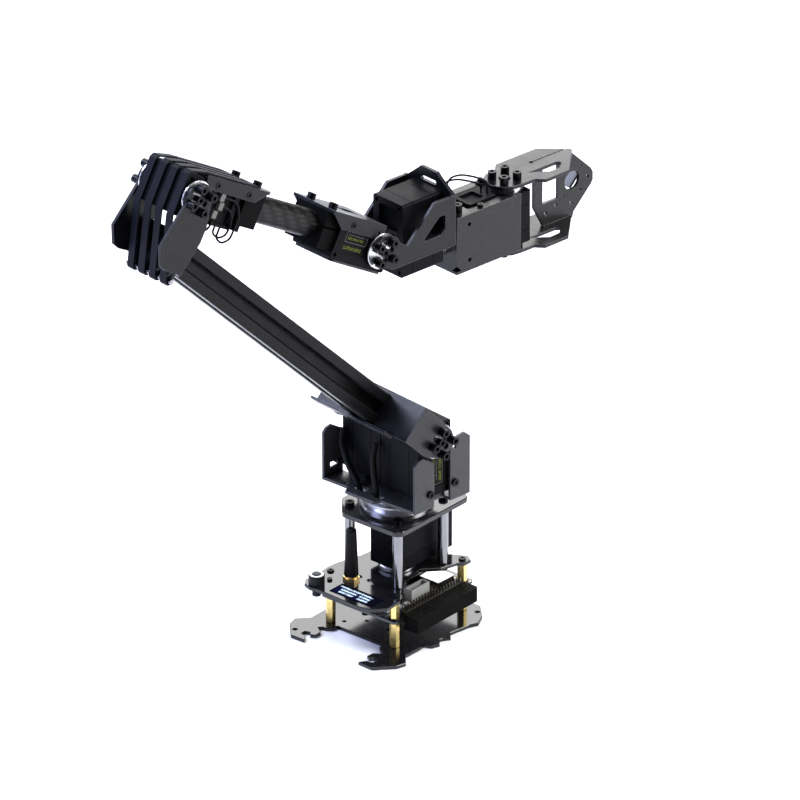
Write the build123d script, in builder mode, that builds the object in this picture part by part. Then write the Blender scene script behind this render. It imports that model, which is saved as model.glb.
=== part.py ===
from build123d import *
import os
from math import cos, sin, radians, hypot, tan

# ---------------------------------------------------------------------------
# Desktop six-axis servo arm.  Millimetres, +Z up.
# Origin: underside of the base plate, on the yaw axis.  +X is the front-to-rear
# direction of the base, the row frame is square to the base plate.
# The turret and everything above it stand turned by YAW about +Z at rest.
# ---------------------------------------------------------------------------
YAW = -6.9

# base stack heights
BASE_T = 2.0
BOARD_Z0, BOARD_Z1 = 18.4, 20.0
MID_Z0, MID_Z1 = 32.2, 34.2
TOP_Z0, TOP_Z1 = 72.2, 75.2
STAND_X, STAND_Y = 30.0, 24.0        # standoff pattern, half spacings
POST_X, POST_Y = 20.0, 18.0          # post pattern, half spacings
POST_R = 3.0
RING_Z1 = 79.0
FLOOR_Z0, FLOOR_Z1 = 85.6, 87.2

# servo case
SV_L, SV_W, SV_D = 45.2, 24.7, 31.5  # long side, thickness, depth along the shaft
SV_OFF = 9.4                         # shaft to the near end of the case
HORN_R = 10.6
SHAFT_R = 3.0
RUN = 0.06                           # radial running clearance of every shaft
PLATE_IN, PLATE_OUT = 18.5, 20.5     # side plates of the elbow and wrist brackets
SCREW_PCD_R = 7.15                   # four screws round each horn
END_R = 9.6                          # rounded plate ends, a little inside the horn's rim

# pivots in the turned frame (x forward, z up)
SH_Z = 126.8                         # shoulder axis height
UP_ANG = 44.0                        # upper arm above the horizontal, leaning back
EL_U, EL_N = 257.6, 28.4             # elbow pivot along / above the upper arm line
EXT_N = -1.5                         # profile centre line, offset from shoulder line
EXT_A = 20.0                         # profile section
EXT_U0, EXT_U1 = 26.5, 239.0
FO_ANG = -29.12                      # forearm slope
FO_LEN = 157.69                      # elbow to wrist pivot
TUBE_N = 1.8
TUBE_R = 8.0
ROLL_Z = 232.4                       # wrist roll axis height
YAW6_X = 83.5                        # tool yaw axis
TOOL_TOP0, TOOL_TOP1 = 250.6, 252.6
TOOL_BOT0, TOOL_BOT1 = 209.2, 211.2

os.makedirs("parts", exist_ok=True)


# ----------------------------- frames --------------------------------------
def vec(p):
    return Vector(*p)


class Link:
    """A link's own plane: u along the link, n square to it, y across the arm."""

    def __init__(self, ox, oz, ang, flip=False):
        a = radians(ang)
        fx = Vector(cos(radians(YAW)), sin(radians(YAW)), 0)
        self.yd = Vector(-sin(radians(YAW)), cos(radians(YAW)), 0)
        up = Vector(0, 0, 1)
        self.o = fx * ox + up * oz
        self.u = fx * cos(a) + up * sin(a)
        n = up * cos(a) - fx * sin(a)
        self.n = n * -1 if flip else n
        # sketch normal that makes the sketch's second axis equal n
        self.s = 1 if flip else -1

    def at(self, u, n, y):
        return self.o + self.u * u + self.n * n + self.yd * y

    def side(self, y, u=0.0, n=0.0):
        """profile plane (u, n) standing at y; extrude by self.s*d to move +y by d"""
        return Plane(origin=self.at(u, n, y), x_dir=self.u, z_dir=self.yd * self.s)

    def over(self, n, u=0.0, y=0.0):
        """plan plane (u, +-y) at height n, normal +n"""
        return Plane(origin=self.at(u, n, y), x_dir=self.u, z_dir=self.n)

    def over_y(self, y):
        """sketch second coordinate on an over() plane for a given y"""
        return -self.s * y

    def front(self, u, n=0.0, y=0.0):
        """cross plane at u: first axis +y, second axis +n, extrude -self.s*d to move +u"""
        return Plane(origin=self.at(u, n, y), x_dir=self.yd, z_dir=self.u * -self.s)


TUR = Link(0, 0, 0)                       # turret, wrist and tool all lie level
UPP = Link(0, SH_Z, 180 - UP_ANG, True)
_e = UPP.at(EL_U, EL_N, 0)
_fx = Vector(cos(radians(YAW)), sin(radians(YAW)), 0)
EX, EZ = _e.dot(_fx), _e.Z
FOR = Link(EX, EZ, FO_ANG)
_w = FOR.at(FO_LEN, 0, 0)
WX, WZ = _w.dot(_fx), _w.Z
print("elbow", round(EX, 2), round(EZ, 2), "wrist", round(WX, 2), round(WZ, 2))
for nm, v in (("elbow", _e), ("wrist", _w)):
    print(nm, "row frame", [round(c / 1000, 5) for c in (v.X, v.Y, v.Z)])
print("roll", [round(c / 1000, 5) for c in TUR.at(30, ROLL_Z, 0)])
print("tool", [round(c / 1000, 5) for c in TUR.at(YAW6_X, 230, 0)])
print("axis y", [round(c, 6) for c in TUR.yd], "axis x", [round(c, 6) for c in TUR.u])


def save(p, name):
    p.part.label = name
    export_step(p.part, "parts/" + name + ".step")


def slab(L, y0, y1):
    """extrusion amount from y0 to y1 on a side plane"""
    return (y1 - y0) * L.s


# ----------------------------- fasteners ------------------------------------
def cap_screws(planes, head_r=2.5, head_h=4.2, sock=1.4, shank_r=1.2, shank=4.0):
    """socket head screws standing on the given planes, heads along the normals"""
    with BuildPart() as s:
        with BuildSketch(*planes):
            Circle(head_r)
        extrude(amount=head_h)
        with BuildSketch(*[p.offset(head_h) for p in planes]):
            RegularPolygon(sock, 6)
        extrude(amount=-head_h * 0.55, mode=Mode.SUBTRACT)
        with BuildSketch(*planes):
            Circle(shank_r)
        extrude(amount=-shank)
    return s


def ring_planes(pl, r, count=4, a0=45.0):
    """planes on a circle round a plane's own origin"""
    out = []
    for i in range(count):
        a = radians(a0 + 360.0 / count * i)
        o = pl.from_local_coords((r * cos(a), r * sin(a), 0))
        out.append(Plane(origin=o, x_dir=pl.x_dir, z_dir=pl.z_dir))
    return out


# ----------------------------- servo case -----------------------------------
def servo(base, depth=SV_D, bore_top=True, bore_bot=True, label=0, window=True):
    """One servo case.  base: plane on the shaft axis at the case's bottom face,
    normal along the shaft, x_dir towards the long end of the case.
    label: 0 none, 1 shallow panel on the top face, -1 on the bottom face"""
    with BuildPart() as s:
        with BuildSketch(base):
            with Locations((SV_L / 2 - SV_OFF, 0)):
                RectangleRounded(SV_L, SV_W, 1.6)
        extrude(amount=depth)
        # joints between the three shells of the case
        for h in (depth * 0.24, depth * 0.74):
            with BuildSketch(base.offset(h)):
                with Locations((SV_L / 2 - SV_OFF, 0)):
                    RectangleRounded(SV_L + 1, SV_W + 1, 2.1)
                    RectangleRounded(SV_L - 0.7, SV_W - 0.7, 1.25, mode=Mode.SUBTRACT)
            extrude(amount=0.35, mode=Mode.SUBTRACT)
        # long end: recessed window for the plug sockets
        end = Plane(origin=base.from_local_coords((SV_L - SV_OFF, 0, depth * 0.5)),
                    x_dir=base.y_dir, z_dir=base.x_dir)
        if window:
            with BuildSketch(end):
                RectangleRounded(14.5, depth * 0.52, 1.2)
            extrude(amount=-1.4, mode=Mode.SUBTRACT)
        if label:
            lp = base.offset(depth) if label > 0 else base
            with BuildSketch(lp):
                with Locations((SV_L - SV_OFF - 15.5, 0)):
                    RectangleRounded(20.0, 14.0, 0.8)
            extrude(amount=-0.35 * label, mode=Mode.SUBTRACT)
        # shaft bores
        if bore_top:
            with BuildSketch(base.offset(depth)):
                Circle(SHAFT_R + RUN)
            extrude(amount=-6.0, mode=Mode.SUBTRACT)
        if bore_bot:
            with BuildSketch(base):
                Circle(SHAFT_R + RUN)
            extrude(amount=6.0, mode=Mode.SUBTRACT)
        # case screws, four blind recesses on the top and bottom faces
        for lp, sg in ((base.offset(depth), -1), (base, 1)):
            with BuildSketch(lp):
                with Locations((SV_L - SV_OFF - 2.8, 9.4), (SV_L - SV_OFF - 2.8, -9.4),
                               (-SV_OFF + 2.8, 9.4), (-SV_OFF + 2.8, -9.4)):
                    Circle(1.3)
            extrude(amount=1.2 * sg, mode=Mode.SUBTRACT)
    return s


def horn(face, thick, shaft=5.0, r=HORN_R, stand=0.0):
    """Output disc.  face: plane on the disc's outer face, normal outward."""
    with BuildPart() as h:
        with BuildSketch(face):
            Circle(r)
        extrude(amount=-thick)
        with BuildSketch(face.offset(-thick)):
            Circle(SHAFT_R)
        extrude(amount=-(shaft + stand))
        if stand:
            with BuildSketch(face.offset(-thick)):
                Circle(SHAFT_R + 2.2)
            extrude(amount=-stand)
        with BuildSketch(*ring_planes(face, SCREW_PCD_R)):
            Circle(1.25)
        extrude(amount=-thick, mode=Mode.SUBTRACT)
        with BuildSketch(face):
            Circle(1.25)
        extrude(amount=-4.0, mode=Mode.SUBTRACT)
        rim = h.edges().filter_by(GeomType.CIRCLE).filter_by(
            lambda e: abs(e.radius - r) < 0.01)
        chamfer(rim, 0.3)
    return h


def horn_pair(faces, thick, stand=0.0):
    parts = [horn(f, thick, stand=stand) for f in faces]
    with BuildPart() as pair:
        for h in parts:
            add(h.part)
    return pair


# ============================================================================
# BASE
# ============================================================================
BASE_HALF = [(-32.0, 0), (-32.0, 17.0), (-36.0, 17.6), (-38.4, 20.4), (-38.4, 22.8),
             (-40.5, 24.6), (-42.0, 22.4), (-44.0, 19.6), (-48.6, 19.4), (-50.2, 22.0),
             (-48.0, 24.2), (-49.0, 27.2), (-52.4, 27.0), (-53.2, 23.0), (-57.2, 20.2),
             (-57.6, 30.6), (-47.0, 40.4), (-41.0, 42.0), (-34.0, 35.6), (-22.0, 35.8),
             (-17.0, 35.2), (-15.6, 39.6), (-10.6, 41.4), (-6.6, 38.0), (-4.4, 38.6),
             (-0.6, 41.2), (3.6, 37.4), (17.6, 39.6), (23.2, 42.0), (31.0, 38.4),
             (40.0, 29.4), (40.0, 20.0), (34.0, 15.0), (34.0, 0)]

with BuildPart() as base_plate:
    with BuildSketch(Plane.XY):
        with BuildLine():
            Polyline(*BASE_HALF, (34.0, -15.0), *[(x, -y) for x, y in reversed(BASE_HALF[:-2])])
        make_face()
        # standoff screws, table bolts and cable holes
        with Locations(*[(sx * STAND_X, sy * STAND_Y) for sx in (-1, 1) for sy in (-1, 1)]):
            Circle(1.6, mode=Mode.SUBTRACT)
        with Locations((-51.0, 33.0), (-51.0, -33.0), (33.0, 33.0), (33.0, -33.0)):
            Circle(1.7, mode=Mode.SUBTRACT)
        with Locations((-16.6, 8.3), (-25.3, 17.8), (-16.6, -8.3), (16.0, 8.0), (16.0, -8.0)):
            Circle(1.3, mode=Mode.SUBTRACT)
        with Locations((-10.3, 14.5)):
            Circle(2.4, mode=Mode.SUBTRACT)
    extrude(amount=BASE_T)
    chamfer(base_plate.faces().sort_by(Axis.Z)[-1].outer_wire().edges(), 0.3)
save(base_plate, "base_plate")

STAND_PTS = [(sx * STAND_X, sy * STAND_Y) for sx in (-1, 1) for sy in (-1, 1)]


def hex_posts(pts, z0, z1, across):
    with BuildPart() as hp:
        with BuildSketch(Plane.XY.offset(z0)):
            with Locations(*pts):
                RegularPolygon(across / 2, 6, major_radius=False)
                Circle(1.5, mode=Mode.SUBTRACT)
        extrude(amount=z1 - z0)
        chamfer(hp.edges().filter_by(Plane.XY).filter_by(GeomType.LINE), 0.3)
    return hp


lower_standoffs = hex_posts(STAND_PTS, BASE_T, BOARD_Z0, 5.0)
upper_standoffs = hex_posts(STAND_PTS, BOARD_Z1 + 0.6, MID_Z0, 5.0)
with BuildPart() as standoffs:
    add(lower_standoffs.part)
    add(upper_standoffs.part)
save(standoffs, "standoffs")

with BuildPart() as standoff_washers:
    with BuildSketch(Plane.XY.offset(BOARD_Z1)):
        with Locations(*STAND_PTS):
            Circle(3.6)
            Circle(1.6, mode=Mode.SUBTRACT)
    extrude(amount=0.6)

with BuildPart() as base_screws:
    # low button screws on the middle plate, one over each standoff
    with BuildSketch(Plane.XY.offset(MID_Z1)):
        with Locations(*STAND_PTS):
            Circle(2.1)
    extrude(amount=1.1)
    chamfer(base_screws.faces().sort_by(Axis.Z)[-1].edges(), 0.4)
    with BuildSketch(Plane.XY.offset(MID_Z1 + 1.1)):
        with Locations(*STAND_PTS):
            RegularPolygon(1.0, 6)
    extrude(amount=-0.8, mode=Mode.SUBTRACT)
    with BuildSketch(Plane.XY.offset(MID_Z1)):
        with Locations(*STAND_PTS):
            Circle(1.4)
    extrude(amount=-8.0)
    # shanks up into the lower standoffs, flush under the base plate
    with BuildSketch(Plane.XY.offset(0.2)):
        with Locations(*STAND_PTS):
            Circle(1.4)
    extrude(amount=8.0)

# controller board ------------------------------------------------------------
with BuildPart() as controller_board:
    with BuildSketch(Plane.XY.offset(BOARD_Z0)):
        with Locations((1.0, 0.2)):
            RectangleRounded(70.0, 56.6, 2.5)
        with Locations(*STAND_PTS):
            Circle(1.6, mode=Mode.SUBTRACT)
    extrude(amount=BOARD_Z1 - BOARD_Z0)
save(controller_board, "controller_board")

HX0, HX1 = -27.0, 26.6
with BuildPart() as edge_header:
    # long black socket block standing past the board's near edge
    with BuildSketch(Plane.XY.offset(13.6)):
        with Locations(((HX0 + HX1) / 2, -33.5)):
            Rectangle(HX1 - HX0, 10.2)
    extrude(amount=9.2)
    chamfer(edge_header.edges().filter_by(Axis.Z), 0.5)
    with BuildSketch(Plane.XY.offset(22.8)):
        with Locations(((HX0 + HX1) / 2, -33.4)):
            with GridLocations(2.54, 2.7, 20, 3):
                Rectangle(1.0, 1.0)
    extrude(amount=-1.2, mode=Mode.SUBTRACT)
save(edge_header, "edge_header")

with BuildPart() as pin_fields:
    # rows of square pins in two moulded strips on the board
    with BuildSketch(Plane.XY.offset(BOARD_Z1)):
        with Locations((1.0, -25.2)):
            Rectangle(49.6, 5.2)
        with Locations((8.8, -19.4)):
            Rectangle(7.6, 5.0)
    extrude(amount=2.5)
    with BuildSketch(Plane.XY.offset(BOARD_Z1 + 2.5)):
        with Locations((1.0, -25.2)):
            with GridLocations(2.54, 2.54, 20, 2):
                Rectangle(0.7, 0.7)
        with Locations((8.8, -19.4)):
            with GridLocations(2.54, 2.54, 3, 2):
                Rectangle(0.7, 0.7)
    extrude(amount=2.8)
save(pin_fields, "pin_headers")

with BuildPart() as bus_socket:
    # pale wire-to-board socket, open upward
    with BuildSketch(Plane.XY.offset(BOARD_Z1)):
        with Locations((-4.2, -18.9)):
            Rectangle(15.6, 5.6)
    extrude(amount=9.6)
    with BuildSketch(Plane.XY.offset(BOARD_Z1 + 9.6)):
        with Locations((-4.2, -18.9)):
            Rectangle(13.8, 4.0)
    extrude(amount=-7.0, mode=Mode.SUBTRACT)
    # four contacts standing in the socket
    with BuildSketch(Plane.XY.offset(BOARD_Z1 + 2.6)):
        with Locations((-4.2, -18.9)):
            with GridLocations(2.5, 1.0, 5, 1):
                Rectangle(0.7, 0.7)
    extrude(amount=4.4)
save(bus_socket, "bus_socket")

with BuildPart() as radio_module:
    # shielded module on the board under the middle plate's cut-out
    with BuildSketch(Plane.XY.offset(BOARD_Z1)):
        with Locations((20.4, -13.0)):
            Rectangle(15.0, 15.4)
    extrude(amount=1.0)
    with BuildSketch(Plane.XY.offset(BOARD_Z1 + 1.0)):
        with Locations((20.4, -13.0)):
            RectangleRounded(14.2, 14.6, 0.6)
    extrude(amount=3.0)
    with BuildSketch(Plane.XY.offset(BOARD_Z1)):
        with Locations((21.0, 5.0)):
            Rectangle(20.0, 15.0)
    extrude(amount=2.4)
save(radio_module, "radio_module")

with BuildPart() as board_parts:
    # small sockets and chips
    for cx, cy, w, d, h in ((-17.6, -14.6, 4.2, 3.2, 3.4), (-14.8, -20.4, 3.4, 3.0, 2.8),
                            (-19.6, -20.2, 3.0, 3.0, 2.4), (-25.0, -14.5, 5.0, 4.2, 3.4), (-8.0, 2.0, 10.0, 10.0, 1.4),
                            (-24.0, 8.0, 7.0, 9.0, 3.0), (-20.0, 20.5, 12.0, 6.5, 3.2),
                            (3.0, 19.5, 8.0, 7.4, 3.0), (-8.0, 13.0, 5.0, 3.0, 1.2)):
        with BuildSketch(Plane.XY.offset(BOARD_Z1)):
            with Locations((cx, cy)):
                Rectangle(w, d)
        extrude(amount=h)
save(board_parts, "board_components")

# middle plate ----------------------------------------------------------------
MID = [(-51.6, 16.0), (-52.6, 20.5), (-51.0, 25.6), (-46.4, 28.6), (-41.0, 27.4), (-34.0, 28.4),
       (-26.0, 29.2), (-20.0, 28.6), (-4.0, 24.0), (14.0, 22.0), (26.0, 27.6), (33.0, 28.2),
       (36.6, 22.0), (34.5, 14.0), (27.0, 7.0), (27.0, -8.0), (33.6, -19.0), (35.6, -24.0),
       (33.0, -28.0), (28.0, -27.8), (24.6, -24.4), (14.0, -21.5), (5.0, -13.4), (-8.0, -15.4),
       (-18.0, -19.6), (-25.6, -25.4), (-27.2, -28.6), (-31.5, -29.6), (-44.0, -30.2),
       (-51.0, -24.0), (-52.6, -16.0)]
with BuildPart() as mid_plate:
    with BuildSketch(Plane.XY.offset(MID_Z0)):
        with BuildLine():
            Polyline(*MID, close=True)
        make_face()
        with Locations(*STAND_PTS):
            Circle(1.5, mode=Mode.SUBTRACT)
        with Locations(*[(sx * POST_X, sy * POST_Y) for sx in (-1, 1) for sy in (-1, 1)]):
            Circle(1.5, mode=Mode.SUBTRACT)
        with Locations((-46.4, 20.4)):
            Circle(2.6, mode=Mode.SUBTRACT)
        with Locations((-30.2, 8.2)):
            Circle(2.6, mode=Mode.SUBTRACT)
        with Locations((-25.2, -2.2)):
            SlotCenterToCenter(5.0, 3.2, rotation=60, mode=Mode.SUBTRACT)
        with Locations((-24.2, 6.8)):
            SlotCenterToCenter(1.4, 2.6, rotation=60, mode=Mode.SUBTRACT)
        # window for the display
        with Locations((-43.0, -7.0)):
            Rectangle(11.6, 32.0, mode=Mode.SUBTRACT)
        with Locations((0, 0)):
            Circle(8.2, mode=Mode.SUBTRACT)
    extrude(amount=MID_Z1 - MID_Z0)
    chamfer(mid_plate.faces().sort_by(Axis.Z)[-1].outer_wire().edges(), 0.3)
save(mid_plate, "middle_plate")

with BuildPart() as plate_screws:
    # two small screws beside the button
    with BuildSketch(Plane.XY.offset(MID_Z1)):
        with Locations((-38.4, 17.4), (-39.0, 24.0)):
            Circle(1.5)
    extrude(amount=1.2)
    with BuildSketch(Plane.XY.offset(MID_Z1 + 1.2)):
        with Locations((-38.4, 17.4), (-39.0, 24.0)):
            RegularPolygon(0.7, 6)
    extrude(amount=-0.7, mode=Mode.SUBTRACT)

with BuildPart() as display_module:
    # display glass filling the window, on its own thin board underneath
    with BuildSketch(Plane.XY.offset(MID_Z0 + 0.1)):
        with Locations((-43.0, -7.0)):
            Rectangle(11.4, 31.8)
    extrude(amount=2.1)
    with BuildSketch(Plane.XY.offset(MID_Z0 - 1.2)):
        with Locations((-42.0, -7.0)):
            Rectangle(15.0, 35.0)
    extrude(amount=1.2)
    with BuildSketch(Plane.XY.offset(MID_Z0 - 2.6)):
        with Locations((-36.0, -7.0)):
            Rectangle(2.4, 10.2)
    extrude(amount=1.4)
save(display_module, "display_module")

# button: a round socket held in the plate, with a sprung plunger in it
BTN = (-46.4, 20.4)
with BuildPart() as button_socket:
    with BuildSketch(Plane.XY.offset(MID_Z1)):
        with Locations(BTN):
            Circle(4.7)
    extrude(amount=6.0)
    chamfer(button_socket.faces().sort_by(Axis.Z)[-1].edges(), 0.5)
    with BuildSketch(Plane.XY.offset(MID_Z0 - 5.4)):
        with Locations(BTN):
            Circle(2.55)
    extrude(amount=5.4 + MID_Z1 - MID_Z0)
    with BuildSketch(Plane.XY.offset(MID_Z0 - 1.4)):
        with Locations(BTN):
            RegularPolygon(3.4, 6, major_radius=False)
    extrude(amount=1.4)
    with BuildSketch(Plane.XY.offset(MID_Z1 + 6.0)):
        with Locations(BTN):
            Circle(2.45)
    extrude(amount=-6.4, mode=Mode.SUBTRACT)
save(button_socket, "button_socket")
with BuildPart() as button_cap:
    with BuildSketch(Plane.XY.offset(MID_Z1 + 1.4)):
        with Locations(BTN):
            Circle(2.4)
    extrude(amount=5.2)
    chamfer(button_cap.faces().sort_by(Axis.Z)[-1].edges(), 0.3)
save(button_cap, "button_cap")

# stub antenna -----------------------------------------------------------------
ANT = (-30.2, 8.2)
with BuildPart() as antenna_base:
    with BuildSketch(Plane.XY.offset(MID_Z1)):
        with Locations(ANT):
            RegularPolygon(4.3, 6, major_radius=False)
    extrude(amount=2.2)
    with BuildSketch(Plane.XY.offset(MID_Z1 + 2.2)):
        with Locations(ANT):
            Circle(3.9)
    extrude(amount=1.2)
    with BuildSketch(Plane.XY.offset(MID_Z0 - 3.0)):
        with Locations(ANT):
            Circle(2.5)
    extrude(amount=3.0 + MID_Z1 - MID_Z0)
save(antenna_base, "antenna_base")
with BuildPart() as antenna_whip:
    with BuildSketch(Plane.XY.offset(MID_Z1 + 3.4)):
        with Locations(ANT):
            Circle(4.2)
    with BuildSketch(Plane.XY.offset(MID_Z1 + 30.0)):
        with Locations(ANT):
            Circle(3.15)
    loft()
    with BuildSketch(Plane.XY.offset(MID_Z1 + 30.0)):
        with Locations(ANT):
            Circle(3.15)
    extrude(amount=3.2)
    fillet(antenna_whip.faces().sort_by(Axis.Z)[-1].edges(), 1.9)
save(antenna_whip, "antenna_whip")

# yaw servo under the top plate -------------------------------------------------
Y_Z0 = 37.4
yaw_case = servo(Plane(origin=(0, 0, Y_Z0), x_dir=(1, 0, 0), z_dir=(0, 0, 1)))
save(yaw_case, "yaw_servo")
with BuildPart() as yaw_foot:
    # steady disc under the case, with its pin in the case's lower bore
    with BuildSketch(Plane.XY.offset(MID_Z1)):
        Circle(HORN_R)
    extrude(amount=3.0)
    with BuildSketch(Plane.XY.offset(MID_Z0)):
        Circle(8.0)
    extrude(amount=MID_Z1 - MID_Z0)
    with BuildSketch(Plane.XY.offset(MID_Z1 + 3.0)):
        Circle(SHAFT_R)
    extrude(amount=4.0)
    chamfer(yaw_foot.edges().filter_by(GeomType.CIRCLE).filter_by(
        lambda e: abs(e.radius - HORN_R) < 0.01), 0.5)
save(yaw_foot, "yaw_servo_foot")

POST_PTS = [(sx * POST_X, sy * POST_Y) for sx in (-1, 1) for sy in (-1, 1)]
with BuildPart() as support_posts:
    with BuildSketch(Plane.XY.offset(MID_Z1)):
        with Locations(*POST_PTS):
            Circle(POST_R)
    extrude(amount=TOP_Z0 - MID_Z1)
    chamfer(support_posts.edges().filter_by(GeomType.CIRCLE), 0.4)
    with BuildSketch(Plane.XY.offset(MID_Z1), Plane.XY.offset(TOP_Z0 - 8)):
        with Locations(*POST_PTS):
            Circle(1.5)
    extrude(amount=8, mode=Mode.SUBTRACT)
save(support_posts, "support_posts")

with BuildPart() as top_plate:
    with BuildSketch(Plane.XY.offset(TOP_Z0)):
        with BuildLine():
            Polyline((-30.0, -27.4), (33.5, -27.4), (33.5, 27.4), (-16.0, 27.4), (-30.0, 15.5),
                     close=True)
        make_face()
        Circle(HORN_R + 1.0, mode=Mode.SUBTRACT)
        with Locations(*POST_PTS):
            Circle(1.5, mode=Mode.SUBTRACT)
    extrude(amount=TOP_Z1 - TOP_Z0)
    fillet(top_plate.edges().filter_by(Axis.Z).filter_by(
        lambda e: hypot(e.center().X, e.center().Y) > 28), 5.0)
    chamfer(top_plate.faces().sort_by(Axis.Z)[-1].outer_wire().edges(), 0.4)
save(top_plate, "top_plate")

post_screws = cap_screws(
    [Plane(origin=(x, y, TOP_Z1), x_dir=(1, 0, 0), z_dir=(0, 0, 1)) for x, y in POST_PTS] +
    [Plane(origin=(x, y, MID_Z0), x_dir=(1, 0, 0), z_dir=(0, 0, -1)) for x, y in POST_PTS],
    head_r=2.7, head_h=2.2, sock=1.4, shank_r=1.4, shank=8.0)
with BuildPart() as base_fasteners:
    add(base_screws.part)
    add(plate_screws.part)
    add(post_screws.part)
    add(standoff_washers.part)
save(base_fasteners, "base_screws")

with BuildPart() as bearing_ring:
    # fixed race of the turntable bearing, open in the middle for the horn
    with BuildSketch(Plane.XY.offset(TOP_Z1)):
        Circle(21.4)
        Circle(12.5, mode=Mode.SUBTRACT)
    extrude(amount=1.7)
    with BuildSketch(Plane.XY.offset(TOP_Z1 + 1.7)):
        Circle(18.4)
        Circle(12.5, mode=Mode.SUBTRACT)
    extrude(amount=RING_Z1 - TOP_Z1 - 1.7)
    chamfer(bearing_ring.edges().filter_by(GeomType.CIRCLE).filter_by(
        lambda e: e.radius > 16 and e.center().Z > TOP_Z1 + 1
        and (e.radius < 19 or e.center().Z < TOP_Z1 + 2)
        and not (e.radius < 19 and e.center().Z < TOP_Z1 + 2)), 0.5)
save(bearing_ring, "bearing_ring")

# ============================================================================
# TURRET (turns about +Z)
# ============================================================================
yaw_horn = horn(Plane(origin=(0, 0, RING_Z1 + 0.6), x_dir=TUR.u, z_dir=(0, 0, 1)),
                RING_Z1 + 0.6 - (Y_Z0 + SV_D) - 0.4, shaft=5.0)
save(yaw_horn, "yaw_horn")

with BuildPart() as turntable:
    # stepped polished disc between the horn and the housing floor
    with BuildSketch(Plane(origin=(0, 0, RING_Z1 + 0.6), x_dir=TUR.u, z_dir=(0, 0, 1))):
        Circle(21.0)
    extrude(amount=2.0)
    with BuildSketch(Plane.XY.offset(RING_Z1 + 2.6)):
        Circle(18.6)
    extrude(amount=2.0)
    with BuildSketch(Plane.XY.offset(RING_Z1 + 4.6)):
        Circle(16.2)
    extrude(amount=FLOOR_Z0 - RING_Z1 - 4.6)
    chamfer(turntable.edges().filter_by(GeomType.CIRCLE), 0.45)
save(turntable, "turntable")

# housing: floor, two walls, each wall split by a slot in front of the servo label
WALL_IN, WALL_OUT = 33.0, 34.6
WX_NEAR, WX_FAR = (-17.6, 25.0), (-26.0, 16.6)     # ends of the near and far walls
SLOT_NEAR, SLOT_FAR = (-2.8, 9.8), (-11.2, 1.4)
WS_DX, WS_Z = 3.2, (94.8, 96.4)                    # wall screws, beside the slots
HS = Plane(origin=(0, 0, FLOOR_Z0), x_dir=TUR.u, z_dir=(0, 0, 1))
with BuildPart() as housing:
    with BuildSketch(HS):
        with BuildLine():
            Polyline((WX_NEAR[0], -WALL_OUT), (SLOT_NEAR[0], -WALL_OUT), (SLOT_NEAR[0], -28.5),
                     (SLOT_NEAR[1], -28.5), (SLOT_NEAR[1], -WALL_OUT), (WX_NEAR[1], -WALL_OUT),
                     (WX_FAR[1], WALL_OUT), (SLOT_FAR[1], WALL_OUT), (SLOT_FAR[1], 28.5),
                     (SLOT_FAR[0], 28.5), (SLOT_FAR[0], WALL_OUT), (WX_FAR[0], WALL_OUT),
                     (-23.6, 15.5), (-28.4, 12.5), (-25.6, -8.5), (-21.4, -10.4), close=True)
        make_face()
        with Locations((-19.0, 9.0)):
            SlotCenterToCenter(4.5, 5.0, rotation=90, mode=Mode.SUBTRACT)
        with Locations((-18.6, -4.5)):
            SlotCenterToCenter(3.5, 5.0, rotation=90, mode=Mode.SUBTRACT)
        with Locations((0, 0)):
            Circle(1.6, mode=Mode.SUBTRACT)
        with Locations((-21.6, 19.5)):
            Circle(1.5, mode=Mode.SUBTRACT)
    extrude(amount=FLOOR_Z1 - FLOOR_Z0)
    for sg, (x0, x1), (s0, s1) in ((-1, WX_NEAR, SLOT_NEAR), (1, WX_FAR, SLOT_FAR)):
        y0 = WALL_OUT * sg
        with BuildSketch(TUR.side(y0)):
            with BuildLine():
                Polyline((x0, FLOOR_Z0), (x0, 115.6), (x0 + 2.2, 118.2), (x0 + 6.2, 119.2),
                         (s0 - 2.7, 115.6), (s0, 113.4), (s0, FLOOR_Z0), close=True)
            make_face()
            with BuildLine():
                Polyline((s1, FLOOR_Z0), (s1, 124.0), (x1 - 4.0, 125.4), (x1, 122.0),
                         (x1, FLOOR_Z0), close=True)
            make_face()
            with Locations((s0 - WS_DX, WS_Z[0]), (s1 + WS_DX, WS_Z[1]), (s1 + WS_DX, 119.0)):
                Circle(1.35, mode=Mode.SUBTRACT)
            if sg > 0:
                # small window low in the far wall
                with Locations((x0 + 8.0, 93.6)):
                    Rectangle(6.0, 3.4, mode=Mode.SUBTRACT)
        extrude(amount=slab(TUR, y0, WALL_IN * sg))
        # both walls are cut back in an arc round the shoulder horn
        with BuildSketch(TUR.side(y0, 0, SH_Z)):
            Circle(HORN_R + 0.7)
        extrude(amount=slab(TUR, y0, WALL_IN * sg), mode=Mode.SUBTRACT)
print("housing solids", len(housing.solids()))
save(housing, "housing_bracket")

SH_BASE = 0.3
shoulder_near = servo(Plane(origin=TUR.at(0, SH_Z, -SH_BASE), x_dir=(0, 0, -1),
                            z_dir=TUR.yd * -1), label=1, bore_bot=False)
save(shoulder_near, "shoulder_servo_near")
shoulder_far = servo(Plane(origin=TUR.at(0, SH_Z, SH_BASE), x_dir=(0, 0, -1),
                           z_dir=TUR.yd), label=1, bore_bot=False)
save(shoulder_far, "shoulder_servo_far")

with BuildPart() as servo_stand:
    # cross bar that both cases stand on and are screwed to, on the housing floor
    with BuildSketch(HS.offset(FLOOR_Z1 - FLOOR_Z0)):
        with Locations((0, 22.5), (0, -22.5)):
            RectangleRounded(20.0, 15.0, 1.0)
    extrude(amount=SH_Z - SV_L + SV_OFF - FLOOR_Z1)
save(servo_stand, "servo_stand")

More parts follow.
